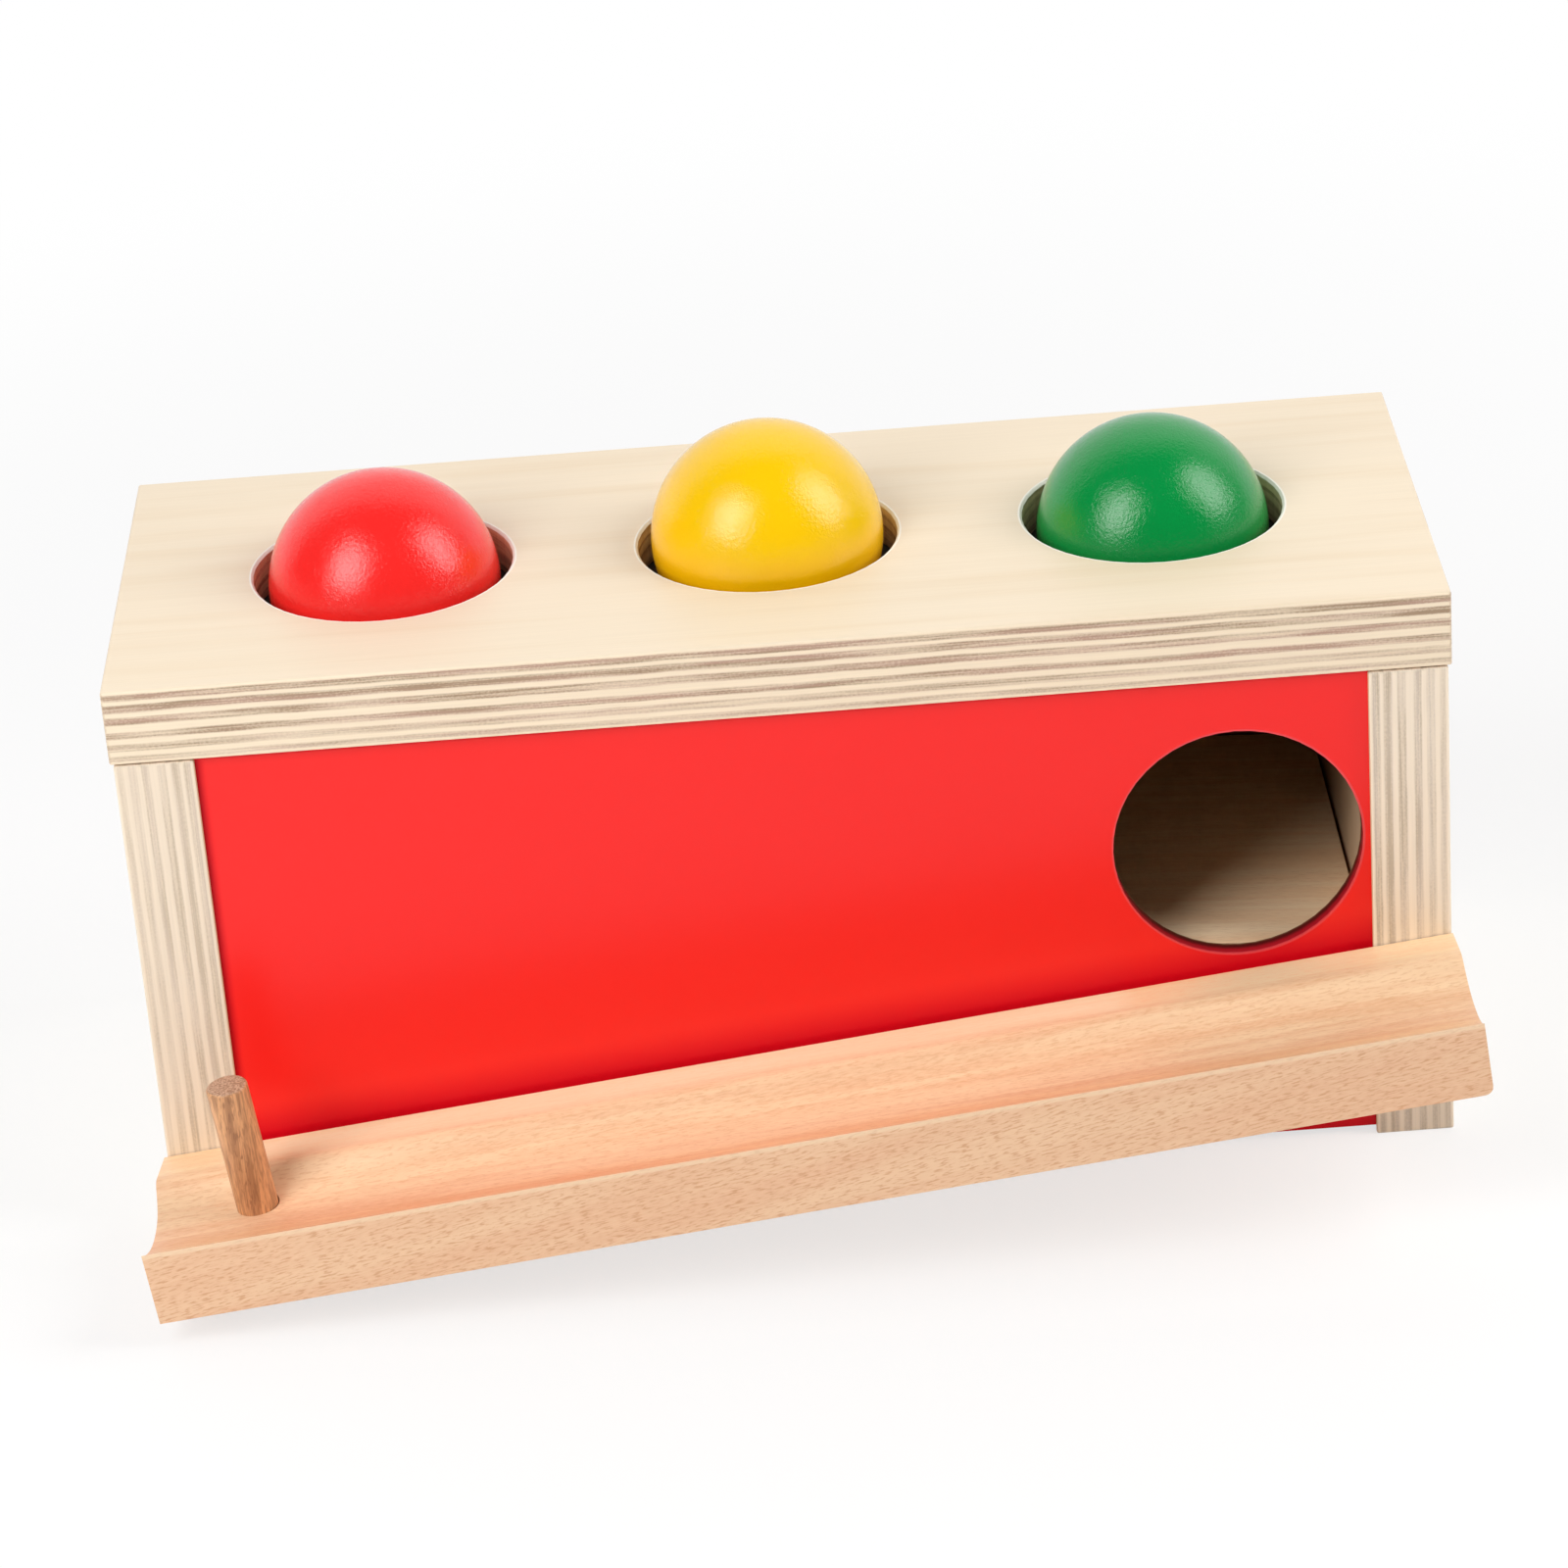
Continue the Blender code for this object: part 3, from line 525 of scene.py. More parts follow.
@dataclass(frozen=True)
class PlywoodFinish:
    """Clear-lacquered birch plywood, with a painted highlight along a round hole's eased edge and painted
    shade on the hole's wall.
    """

    name: str
    light: Colour = screen(252, 234, 206)
    dark: Colour = screen(172, 146, 118)
    blush: Colour = screen(192, 158, 138)
    near: Colour = screen(245, 227, 200)
    far: Colour = screen(222, 192, 158)
    figure: Colour = (0.955, 0.92, 0.87, 1.0)
    # Painted highlight on the eased hole edges, and painted shade on the hole walls below them
    rim: Colour = (1.0, 0.95, 0.85, 1.0)
    wall_shade: Colour = (0.95, 0.86, 0.76, 1.0)
    ring_edge: Span = (0.7 * MM, 1.0 * MM)
    highlight_depth: Span = (0.5 * MM, 0.8 * MM)
    wall_shade_depth: Span = (0.5 * MM, 1.0 * MM)
    roughness: float = 0.42
    rougher_end: float = 0.54
    heights: Span = (-0.6, 0.3)
    relief: float = 0.05 * MM

    def make(self, node: str, along: Along, inwards: int, *holes: Vector) -> Finish:
        """Make the finish of one board.

        Args:
            node: The board's CAD node.
            along: The axes along, across and through the board.
            inwards: The way through the board from the face that its plies are counted from, 1 or -1.
            *holes: The middles of its round holes.

        Returns:
            The finish.
        """
        face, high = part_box(node)
        through = "XYZ".index(along.value[2])
        thickness = high[through] - face[through]
        if inwards < 0:
            face[through] = high[through]
        finish = Finish(self.name, self.roughness)
        wiring = finish.wiring
        place, facing = finish.turned(face, along)
        layers = wiring.group(
            Pattern.PLYWOOD, wiring.vectors("MULTIPLY", place, (1.0, 1.0, float(inwards))), Facing=facing,
            Thickness=thickness, Light=self.light, Dark=self.dark, Blush=self.blush, Near=self.near,
            Far=self.far, Figure=self.figure,
        )
        colour = layers["Color"]
        if holes:
            # Painted shade on the hole walls and a painted highlight on their eased edges
            rim, wall_shade = self.holes(finish, face.z, hole_radius(node, holes[0]), holes)
            colour = wiring.blend(wall_shade, colour, self.wall_shade, "MULTIPLY")
            colour = wiring.blend(rim, colour, self.rim)
        finish.feed("Base Color", colour)
        rough = wiring.span(layers["Height"], *self.heights, self.rougher_end, self.roughness)
        finish.feed("Roughness", rough)
        finish.bump(layers["Height"], self.relief)
        return finish

    def holes(
        self, finish: Finish, top: float, radius: float, middles: tuple[Vector, ...]
    ) -> tuple[Feed, Feed]:
        """Mask the painted highlight on the eased edges of upright round holes, and the painted shade on the
        walls below them.

        Args:
            finish: The finish that the masks are for.
            top: The height of the face that the holes open in.
            radius: Their radius.
            middles: Their middles.

        Returns:
            The masks of the painted highlight and of the painted shade.
        """
        wiring = finish.wiring
        flat = wiring.vectors("MULTIPLY", finish.place, (1.0, 1.0, 0.0))
        nearest, *others = (wiring.distance(flat, (middle.x, middle.y, 0.0)) for middle in middles)
        for away in others:
            nearest = wiring.maths("MINIMUM", nearest, away)
        below = wiring.minus(top, wiring.parts(finish.place)["Z"])
        ring = wiring.fade(nearest, *(radius + edge for edge in self.ring_edge))
        rim = wiring.times(ring, wiring.fade(below, *self.highlight_depth))
        wall_shade = wiring.times(ring, wiring.span(below, *self.wall_shade_depth))
        return rim, wall_shade


@dataclass(frozen=True)
class BeechFinish:
    """Beech under a thin clear coat."""

    name: str
    light: Colour = screen(248, 209, 170)
    warm: Colour = screen(237, 185, 147)
    fleck: Colour = screen(217, 157, 113)
    end: Colour = screen(236, 184, 146)
    flecks: float = 0.75
    streaking: float = 0.1
    roughness: float = 0.45
    relief: float = 0.035 * MM

    def make(self, node: str, along: Along, slope: float = 0.0) -> Finish:
        """Make the finish.

        Args:
            node: The CAD node whose lowest corner the grain starts from.
            along: The axes along, across and through the grain.
            slope: How far the grain rises over X, in radians.

        Returns:
            The finish.
        """
        finish = Finish(self.name, self.roughness)
        place, facing = finish.turned(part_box(node)[0], along, slope)
        grain = finish.wiring.group(
            Pattern.BEECH, place, Facing=facing, Light=self.light, Warm=self.warm, Fleck=self.fleck,
            End=self.end, Flecks=self.flecks, Streaking=self.streaking,
        )
        finish.feed("Base Color", grain["Color"])
        finish.bump(grain["Height"], self.relief)
        return finish


@dataclass(frozen=True)
class RailFinish(BeechFinish):
    """The rail's beech: paler in the groove, with painted light that makes the land behind it palest, and a
    painted highlight along its lip.

    The spans lie across the rail, from its front edge. The painted light on the land is browner outside the
    bench's two sides.
    """

    brow: Colour = (1.0, 0.92, 0.83, 1.0)
    brow_start: Span = (1 * MM, 2 * MM)
    brow_end: Span = (9 * MM, 18 * MM)
    groove: Colour = (0.03, 0.06, 0.02, 1.0)
    groove_start: Span = (14 * MM, 28 * MM)
    # Painted light on the land behind the groove, browner outside the two sides
    land_light: Colour = (0.9, 0.54, 0.3, 1.0)
    land_light_ends: Colour = (0.9, 0.28, 0.11, 1.0)
    land_light_start: Span = (35 * MM, 43 * MM)
    land_left: float = 9 * MM
    land_right: float = 62 * MM
    # Painted highlight along the lip's eased edge
    lip_highlight: Colour = screen(255, 226, 190)
    lip_highlight_reach: float = 1.5 * MM
    lip_highlight_share: float = 0.55

    def make_rail(self, rise: float, run_out: float) -> Finish:
        """Make the finish of the rail.

        Args:
            rise: How much the rail rises over X.
            run_out: How far the grain turns from the rail's own line, in radians.

        Returns:
            The finish.
        """
        finish = self.make("ball_rail", Along.X, math.atan(rise) + run_out)
        wiring = finish.wiring
        place = wiring.parts(finish.place)
        across = wiring.minus(place["Y"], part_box("ball_rail")[0].y)
        brow = wiring.times(wiring.span(across, *self.brow_start), wiring.fade(across, *self.brow_end))
        colour = wiring.blend(brow, finish.fed["Base Color"], self.brow, "MULTIPLY")
        colour = wiring.blend(wiring.span(across, *self.groove_start), colour, self.groove, "SCREEN")

        # Painted light on the land, browner beyond the two sides
        left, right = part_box("left_side_panel")[1].x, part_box("right_side_panel")[0].x - self.land_right
        starts = wiring.span(place["X"], left - self.land_left, left + self.land_left)
        middle = wiring.times(starts, wiring.fade(place["X"], right, right + self.land_left))
        land_light = wiring.blend(middle, self.land_light_ends, self.land_light)
        colour = wiring.blend(wiring.span(across, *self.land_light_start), colour, land_light, "SCREEN")

        # Painted highlight along the lip
        line = wiring.maths("MULTIPLY_ADD", place["X"], rise, upper_edge("ball_rail", rise, -1))
        away = wiring.distance(wiring.join(0.0, across, place["Z"]), wiring.join(0.0, 0.0, line))
        eased = wiring.fade(away, self.lip_highlight_reach / 2, self.lip_highlight_reach, self.lip_highlight_share)
        finish.feed("Base Color", wiring.blend(eased, colour, self.lip_highlight))
        return finish


@dataclass(frozen=True)
class LacquerFinish:
    """Coloured lacquer over wood, with painted shade that deepens it on a ball's lower half, fading out a
    little above its waist.

    What it throws onto the pale wood round it is calmer than the lacquer itself.
    """

    name: str
    colour: Colour
    # The deeper colour serves both the uneven lacquer and the painted shade on the ball's lower half
    deep: Colour
    uneven_share: float = 0.35
    lower_shade_share: float = 0.6
    lower_shade_height: float = 0.35
    bounced: Colour = (0.62, 0.62, 0.48, 1.0)
    bounced_share: float = 0.25
    roughness: Span = (0.09, 0.15)
    specular: float = 0.5
    peel: float = 0.75 * MM
    relief: float = 0.13 * MM

    def make(self) -> Finish:
        """Make the finish.

        Returns:
            The finish.
        """
        finish = Finish(self.name, self.roughness[1], Specular_IOR_Level=self.specular)
        wiring = finish.wiring
        spray = wiring.group(Pattern.LACQUER, finish.place, Peel=self.peel)
        # Painted shade: the deep colour on the ball's lower half, fading out a little above its waist
        lower_shade = wiring.fade(wiring.parts(finish.facing)["Z"], 0.0, self.lower_shade_height, self.lower_shade_share)
        share = wiring.maths("MULTIPLY_ADD", spray["Gloss"], self.uneven_share, lower_shade)
        painted = wiring.blend(share, self.colour, self.deep)
        finish.feed("Base Color", finish.calmed(painted, self.bounced, self.bounced_share))
        finish.feed("Roughness", wiring.span(spray["Gloss"], 0.0, 1.0, *self.roughness))
        finish.bump(spray["Height"], self.relief)
        return finish


@dataclass(frozen=True)
class PanelFinish:
    """A thin board lacquered red on its outer face, a deeper red on its edges that darkens towards the inner
    face, and bare inside, where painted shade darkens the bare wood.

    Painted shade, a deep crimson with less clear coat, lies along its left edge, under its head and above
    its foot, where the other boards shade the red. A painted highlight lightens the edge of its round hole.
    What it throws onto the pale wood beside it is calmer than the red itself.
    """

    name: str
    red: Colour = (1.0, 0.010, 0.0085, 1.0)
    deep: Colour = (0.98, 0.008, 0.006, 1.0)
    deep_share: float = 0.5
    # Painted shade: the deep crimson where the side, the top and the rail shade the red
    shade_crimson: Colour = (0.72, 0.001, 0.013, 1.0)
    shade_crimson_share: float = 0.9
    left_shade_width: float = 2.6 * MM
    head_shade_width: float = 1.0 * MM
    head_share: float = 0.8
    foot_shade_width: float = 10.0 * MM
    # Painted highlight along the round hole's eased edge
    rim: Colour = screen(236, 84, 92)
    rim_highlight_width: float = 0.6 * MM
    rim_share: float = 0.7
    bounced: Colour = (0.95, 0.56, 0.38, 1.0)
    bounced_share: float = 0.8
    edge: Colour = screen(186, 24, 38)
    edge_inside: Colour = screen(92, 20, 18)
    edge_depth: Span = (0.3, 0.75)
    # Bare wood inside, coloured darker as painted shade inside the box
    bare: Colour = screen(122, 80, 55)
    bare_streaks: Span = (0.3, 0.7, 0.88, 1.05)
    fibre_length: float = 30 * MM
    fibre_width: float = 0.8 * MM
    skin: float = 0.35 * MM
    roughness: float = 0.3
    uneven_roughness: float = 0.1
    bare_roughness: float = 0.3
    specular: float = 0.1
    coat: float = 0.6
    peel: float = 0.9 * MM
    wave: float = 14 * MM
    wave_stretch: tuple[float, float, float] = (0.3, 1.0, 1.0)
    relief: float = 0.012 * MM

    def painted_corner_shade(self, finish: Finish, head: float, foot: Span) -> Feed:
        """Mask the painted shade along the left edge, under the head and above the foot.

        Args:
            finish: The finish that the mask is for.
            head: The height of the panel's head.
            foot: The line that its lacquer stops at, as (rise over X, height at X = 0).

        Returns:
            The mask.
        """
        wiring = finish.wiring
        place = wiring.parts(finish.place)
        inner = wiring.minus(place["X"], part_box("left_side_panel")[1].x)
        left = wiring.fade(inner, 0.0, self.left_shade_width)
        upper = wiring.fade(wiring.minus(head, place["Z"]), 0.0, self.head_shade_width, self.head_share)
        line = wiring.maths("MULTIPLY_ADD", place["X"], *foot)
        lower = wiring.fade(wiring.minus(place["Z"], line), 0.0, self.foot_shade_width)
        return wiring.maths("MAXIMUM", wiring.maths("MAXIMUM", left, upper), lower)

    def rim_highlight(self, finish: Finish, node: str) -> Feed:
        """Mask the painted highlight along the eased edge of the panel's round hole.

        Args:
            finish: The finish that the mask is for.
            node: The panel's CAD node.

        Returns:
            The mask.
        """
        low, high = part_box(node)
        inner = [point for point in corners_of(node)
                 if min(point.x - low.x, high.x - point.x, point.z - low.z, high.z - point.z) > MM]
        middle = sum(inner, Vector()) / len(inner)
        radius = max(point.x - middle.x for point in inner)
        flat = finish.wiring.vectors("MULTIPLY", finish.place, (1.0, 0.0, 1.0))
        away = finish.wiring.distance(flat, (middle.x, 0.0, middle.z))
        return finish.wiring.fade(away, radius + self.rim_highlight_width / 2, radius + self.rim_highlight_width, self.rim_share)

    def make(self, node: str, outer: int, foot: Span) -> Finish:
        """Make the finish of the front or the back panel.

        Args:
            node: The panel's CAD node.
            outer: 1 if its outer face looks to +Y, else -1.
            foot: The line that its lacquer stops at, as (rise over X, height at X = 0).

        Returns:
            The finish.
        """
        low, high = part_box(node)
        finish = Finish(
            self.name, self.roughness, Specular_IOR_Level=self.specular, Coat_Roughness=self.roughness
        )
        wiring = finish.wiring
        stretched = wiring.vectors("MULTIPLY", finish.place, self.wave_stretch)
        spray = wiring.group(Pattern.LACQUER, stretched, Peel=self.peel, Wave=self.wave)
        painted = wiring.blend(wiring.times(spray["Gloss"], self.deep_share), self.red, self.deep)
        # Painted shade: deep crimson and less clear coat along the left edge, the head and the foot
        corner_shade = wiring.times(self.painted_corner_shade(finish, high.z, foot), self.shade_crimson_share)
        painted = wiring.blend(corner_shade, painted, self.shade_crimson)
        finish.feed("Coat Weight", wiring.maths("MULTIPLY_ADD", corner_shade, -self.coat, self.coat))
        if outer < 0:
            # Painted highlight along the eased edge of the hole
            painted = wiring.blend(self.rim_highlight(finish, node), painted, self.rim)
        painted = finish.calmed(painted, self.bounced, self.bounced_share)

        face, thickness = (high.y if outer > 0 else low.y), high.y - low.y
        depth = wiring.times(wiring.minus(wiring.parts(finish.place)["Y"], face), -float(outer))
        # The edge's red darkens towards the inner face
        deeper_tone = wiring.span(depth, *(share * thickness for share in self.edge_depth))
        edge = wiring.blend(deeper_tone, self.edge, self.edge_inside)
        grain = wiring.group(Pattern.FIBRES, finish.place, Length=self.fibre_length, Width=self.fibre_width)
        bare = wiring.shade(self.bare, wiring.span(grain["Streaks"], *self.bare_streaks))
        coated = wiring.span(depth, self.skin, 2 * self.skin)
        inside = wiring.span(depth, thickness - 2 * self.skin, thickness - self.skin)
        finish.feed("Base Color", wiring.blend(inside, wiring.blend(coated, painted, edge), bare))

        smoothest = self.roughness - self.uneven_roughness / 2
        gloss = wiring.maths("MULTIPLY_ADD", spray["Gloss"], self.uneven_roughness, smoothest)
        finish.feed("Roughness", wiring.maths("MULTIPLY_ADD", coated, self.bare_roughness, gloss))
        finish.bump(spray["Shade"], self.relief)
        return finish


@dataclass(frozen=True)
class SkinFinish:
    """Rubber or steel with a fine skin. One of the lacquer's masks tints it and another one dulls it."""

    name: str
    colour: Colour
    tint: Colour
    tint_mask: str
    tint_share: float
    rough_mask: str
    roughness: Span
    peel: float
    wave: float
    relief: float
    metallic: float = 0.0

    def make(self) -> Finish:
        """Make the finish.

        Returns:
            The finish.
        """
        finish = Finish(self.name, self.roughness[1], Metallic=self.metallic)
        wiring = finish.wiring
        skin = wiring.group(Pattern.LACQUER, finish.place, Peel=self.peel, Wave=self.wave)
        share = wiring.times(skin[self.tint_mask], self.tint_share)
        finish.feed("Base Color", wiring.blend(share, self.colour, self.tint))
        finish.feed("Roughness", wiring.span(skin[self.rough_mask], 0.0, 1.0, *self.roughness))
        finish.bump(skin["Height"], self.relief)
        return finish


def corners_of(node: str) -> list[Vector]:
    """The places of a CAD node's mesh points."""
    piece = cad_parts[node]
    return [piece.matrix_world @ vertex.co for vertex in piece.data.vertices]


def hole_radius(node: str, middle: Vector) -> float:
    """How near a CAD node's points come to the upright axis of one of its round holes."""
    return min(math.hypot(point.x - middle.x, point.y - middle.y) for point in corners_of(node))


def upper_edge(node: str, rise: float, side: int) -> float:
    """Measure how high a rising CAD node's upper edge lies.

    Args:
        node: The CAD node.
        rise: How much the edge rises over X.
        side: -1 for its front edge and 1 for its back one.

    Returns:
        The edge's height at X = 0.
    """
    points = corners_of(node)
    outermost = max(side * point.y for point in points) - MM
    return max(point.z - rise * point.x for point in points if side * point.y > outermost)


def deselect_all() -> None:
    """Leave nothing selected, so that an operator acts only on what is made next."""
    bpy.ops.object.select_all(action="DESELECT")


def hang(name: str, data: bpy.types.ID) -> Piece:
    """Put a new object with its data into the scene.

    Args:
        name: The object's name.
        data: Its mesh, lamp or camera.

    Returns:
        The object.
    """
    thing = bpy.data.objects.new(name, data)
    bpy.context.scene.collection.objects.link(thing)
    return thing


def pick_edges(piece: Piece, wanted: Callable[[Vector], bool]) -> None:
    """In edit mode, select only some of a piece's edges.

    Args:
        piece: The piece.
        wanted: Whether an edge's end at a place is wanted. Both its ends have to be.
    """
    bpy.ops.mesh.select_mode(type="EDGE")
    bpy.ops.mesh.select_all(action="DESELECT")
    shape = bmesh.from_edit_mesh(piece.data)
    for edge in shape.edges:
        edge.select_set(all(wanted(vertex.co) for vertex in edge.verts))
    bmesh.update_edit_mesh(piece.data)


def settle(piece: Piece) -> None:
    """Put a piece's place, turn and scale into its mesh.

    Args:
        piece: The piece.
    """
    deselect_all()
    piece.select_set(True)
    bpy.context.view_layer.objects.active = piece
    bpy.ops.object.transform_apply(location=True, rotation=True, scale=True)


def hand_over(piece: Piece, finish: Finish, body: str, slot: str, *replaced: str) -> None:
    """Finish a piece, tie it to a body and let it stand for CAD nodes.

    Args:
        piece: The piece, at its place.
        finish: Its finish.
        body: The CAD body that it moves with.
        slot: The record's material slot. Not used.
        *replaced: The CAD nodes that it stands for.
    """
    piece.data.materials.clear()
    piece.data.materials.append(finish.material)
    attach(piece, body)
    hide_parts(*replaced)
    LOG.info("%s rides on %s and stands for %s", piece.name, body, ", ".join(replaced))


@dataclass(frozen=True)
class Pin:
    """Where a round CAD node lies."""

    middle: Vector
    axis: Vector
    radius: float
    length: float

    @classmethod
    def measured(cls, node: str, axis: Vector) -> "Pin":
        """Measure a CAD node whose axis has a known direction.

        Args:
            node: The CAD node.
            axis: Its direction, one long.

        Returns:
            Its middle, axis, greatest radius and length.
        """
        points = corners_of(node)
        centre = sum(points, Vector()) / len(points)
        reach = [(point - centre).dot(axis) for point in points]
        radius = max((point - centre - axis * step).length for point, step in zip(points, reach))
        middle = centre + axis * (max(reach) + min(reach)) / 2
        return cls(middle, axis, radius, max(reach) - min(reach))


@dataclass
class PlywoodBox:
    """The thick top and sides, and the thin front and back panels."""

    top: PlywoodFinish = PlywoodFinish("top_plywood")
    left: PlywoodFinish = PlywoodFinish(
        "left_plywood", light=screen(246, 229, 206), dark=screen(208, 190, 166), blush=screen(220, 202, 182),
        near=PlywoodFinish.far, far=PlywoodFinish.near,
    )
    right: PlywoodFinish = PlywoodFinish(
        "right_plywood", light=screen(252, 236, 214), dark=screen(202, 184, 160), blush=screen(214, 198, 180),
        near=PlywoodFinish.far, far=PlywoodFinish.near,
    )
    front: PanelFinish = PanelFinish("front_red")
    back: PanelFinish = PanelFinish("back_red")
    rail_rise: float = math.tan(RAIL_SLOPE)

    def dress(self) -> None:
        """Give every board its finish."""
        holes = (sum(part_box(ball), Vector()) / 2 for ball in ("ball_red", "ball_yellow", "ball_green"))
        self.top.make("top_panel", Along.X, -1, *holes).dress("top_panel")
        self.left.make("left_side_panel", Along.Z, -1).dress("left_side_panel")
        self.right.make("right_side_panel", Along.Z, 1).dress("right_side_panel")
        rail_line = (self.rail_rise, upper_edge("ball_rail", self.rail_rise, 1))
        ground_line = (0.0, 0.0)
        self.front.make("front_panel", -1, rail_line).dress("front_panel")
        self.back.make("back_panel", 1, ground_line).dress("back_panel")


@dataclass
class BallRun:
    """What lies inside: the sloping floor on its cleats, the board and rings under the top, the dowels."""

    # The ramp board's beech is paler than the other boards': painted light inside the box
    floor: BeechFinish = BeechFinish(
        "inner_board", light=screen(255, 226, 188), warm=screen(250, 212, 170), fleck=screen(206, 160, 116),
        flecks=0.3, roughness=0.55,
    )
    # The retainer board's beech is darker than the others': painted shade inside the box
    retainer: BeechFinish = BeechFinish(
        "retainer_board", light=screen(190, 154, 118), warm=screen(178, 140, 104), fleck=screen(150, 112, 80),
        roughness=0.6,
    )
    cleats: BeechFinish = BeechFinish("cleat_beech")
    dowels: BeechFinish = BeechFinish("dowel_beech")
    rings: SkinFinish = SkinFinish(
        "black_rubber", colour=(0.016, 0.014, 0.013, 1.0), tint=(0.05, 0.045, 0.04, 1.0), tint_mask="Shade",
        tint_share=0.6, rough_mask="Gloss", roughness=(0.5, 0.7), peel=0.5 * MM, wave=4 * MM,
        relief=0.03 * MM,
    )

    def dress(self) -> None:
        """Give the inner pieces their finishes."""
        dowels = [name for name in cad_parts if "dowel" in name]
        self.floor.make("ramp_board", Along.X).dress("ramp_board")
        self.retainer.make("ring_retainer_board", Along.X).dress("ring_retainer_board")
        self.cleats.make("ramp_cleat_left", Along.Y).dress("ramp_cleat_left", "ramp_cleat_right")
        self.rings.make().dress("grip_ring_red", "grip_ring_yellow", "grip_ring_green")
        self.dowels.make("ramp_cleat_left", Along.Z).dress(*dowels)


@dataclass
class Balls:
    """Three lacquered wooden balls, each on its own body."""

    red: LacquerFinish = LacquerFinish("red_lacquer", (0.98, 0.024, 0.021, 1.0), (0.95, 0.018, 0.017, 1.0))
    yellow: LacquerFinish = LacquerFinish("yellow_lacquer", (1.0, 0.62, 0.001, 1.0), (1.0, 0.53, 0.0, 1.0))
    green: LacquerFinish = LacquerFinish("green_lacquer", (0.0, 0.29, 0.055, 1.0), (0.0, 0.25, 0.045, 1.0))
    cuts: int = 47

    def model(self, name: str, node: str) -> Piece:
        """Model a ball from a cube, so that its faces are even all over.

        Args:
            name: The new piece's name.
            node: The CAD ball that it stands for.

        Returns:
            The ball.
        """
        low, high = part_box(node)
        diameter = high.z - low.z
        deselect_all()
        bpy.ops.mesh.primitive_cube_add(size=diameter, location=(low + high) / 2)
        ball = bpy.context.object
        ball.name = name
        bpy.ops.object.mode_set(mode="EDIT")
        bpy.ops.mesh.select_all(action="SELECT")
        bpy.ops.mesh.subdivide(number_cuts=self.cuts)
        bpy.ops.transform.tosphere(value=1.0)
        bpy.ops.object.mode_set(mode="OBJECT")
        ball.scale = Vector((1.0, 1.0, 1.0)) * (diameter / ball.dimensions.z)
        bpy.ops.object.shade_smooth()
        settle(ball)
        return ball

    def dress(self) -> None:
        """Model and finish the three balls."""
        for name, lacquer in (("red", self.red), ("yellow", self.yellow), ("green", self.green)):
            ball = self.model("lacquered_ball_" + name, "ball_" + name)
            hand_over(ball, lacquer.make(), name + "_ball", lacquer.name, "ball_" + name)


@dataclass
class Rail:
    """The grooved rail in front, and the peg at its low end."""

    beech: RailFinish = RailFinish("rail_beech")
    deeper_tone: BeechFinish = BeechFinish(
        "peg_beech", light=screen(234, 176, 124), warm=screen(216, 154, 106), fleck=screen(146, 98, 66),
        end=screen(214, 174, 146), streaking=0.7,
    )
    slope: float = RAIL_SLOPE
    run_out: float = math.radians(7.0)
    peg_sides: int = 64
    peg_ease: float = 0.9 * MM
    peg_ease_steps: int = 4
    smooth_angle: float = math.radians(40.0)

    def peg(self) -> Piece:
        """Model the peg, a turned pin with eased ends that stands square to the rail.

        Returns:
            The peg.
        """
        pin = Pin.measured("stop_peg", Vector((-math.sin(self.slope), 0.0, math.cos(self.slope))))
        deselect_all()
        bpy.ops.mesh.primitive_cylinder_add(
            vertices=self.peg_sides, radius=pin.radius, depth=pin.length, location=pin.middle,
            rotation=(0.0, -self.slope, 0.0),
        )
        peg = bpy.context.object
        peg.name = "turned_peg"
        end = pin.length / 2 - self.peg_ease / 2
        bpy.ops.object.mode_set(mode="EDIT")
        for side in (-1, 1):
            pick_edges(peg, lambda point: point.z * side > end)
            bpy.ops.mesh.bevel(offset=self.peg_ease, segments=self.peg_ease_steps, affect="EDGES")
        bpy.ops.object.mode_set(mode="OBJECT")
        bpy.ops.object.shade_smooth_by_angle(angle=self.smooth_angle)
        settle(peg)
        return peg

    def dress(self) -> None:
        """Finish the rail, and model and finish the peg."""
        self.beech.make_rail(math.tan(self.slope), self.run_out).dress("ball_rail")
        hand_over(self.peg(), self.deeper_tone.make("stop_peg", Along.Z), "bench", "dark_beech", "stop_peg")


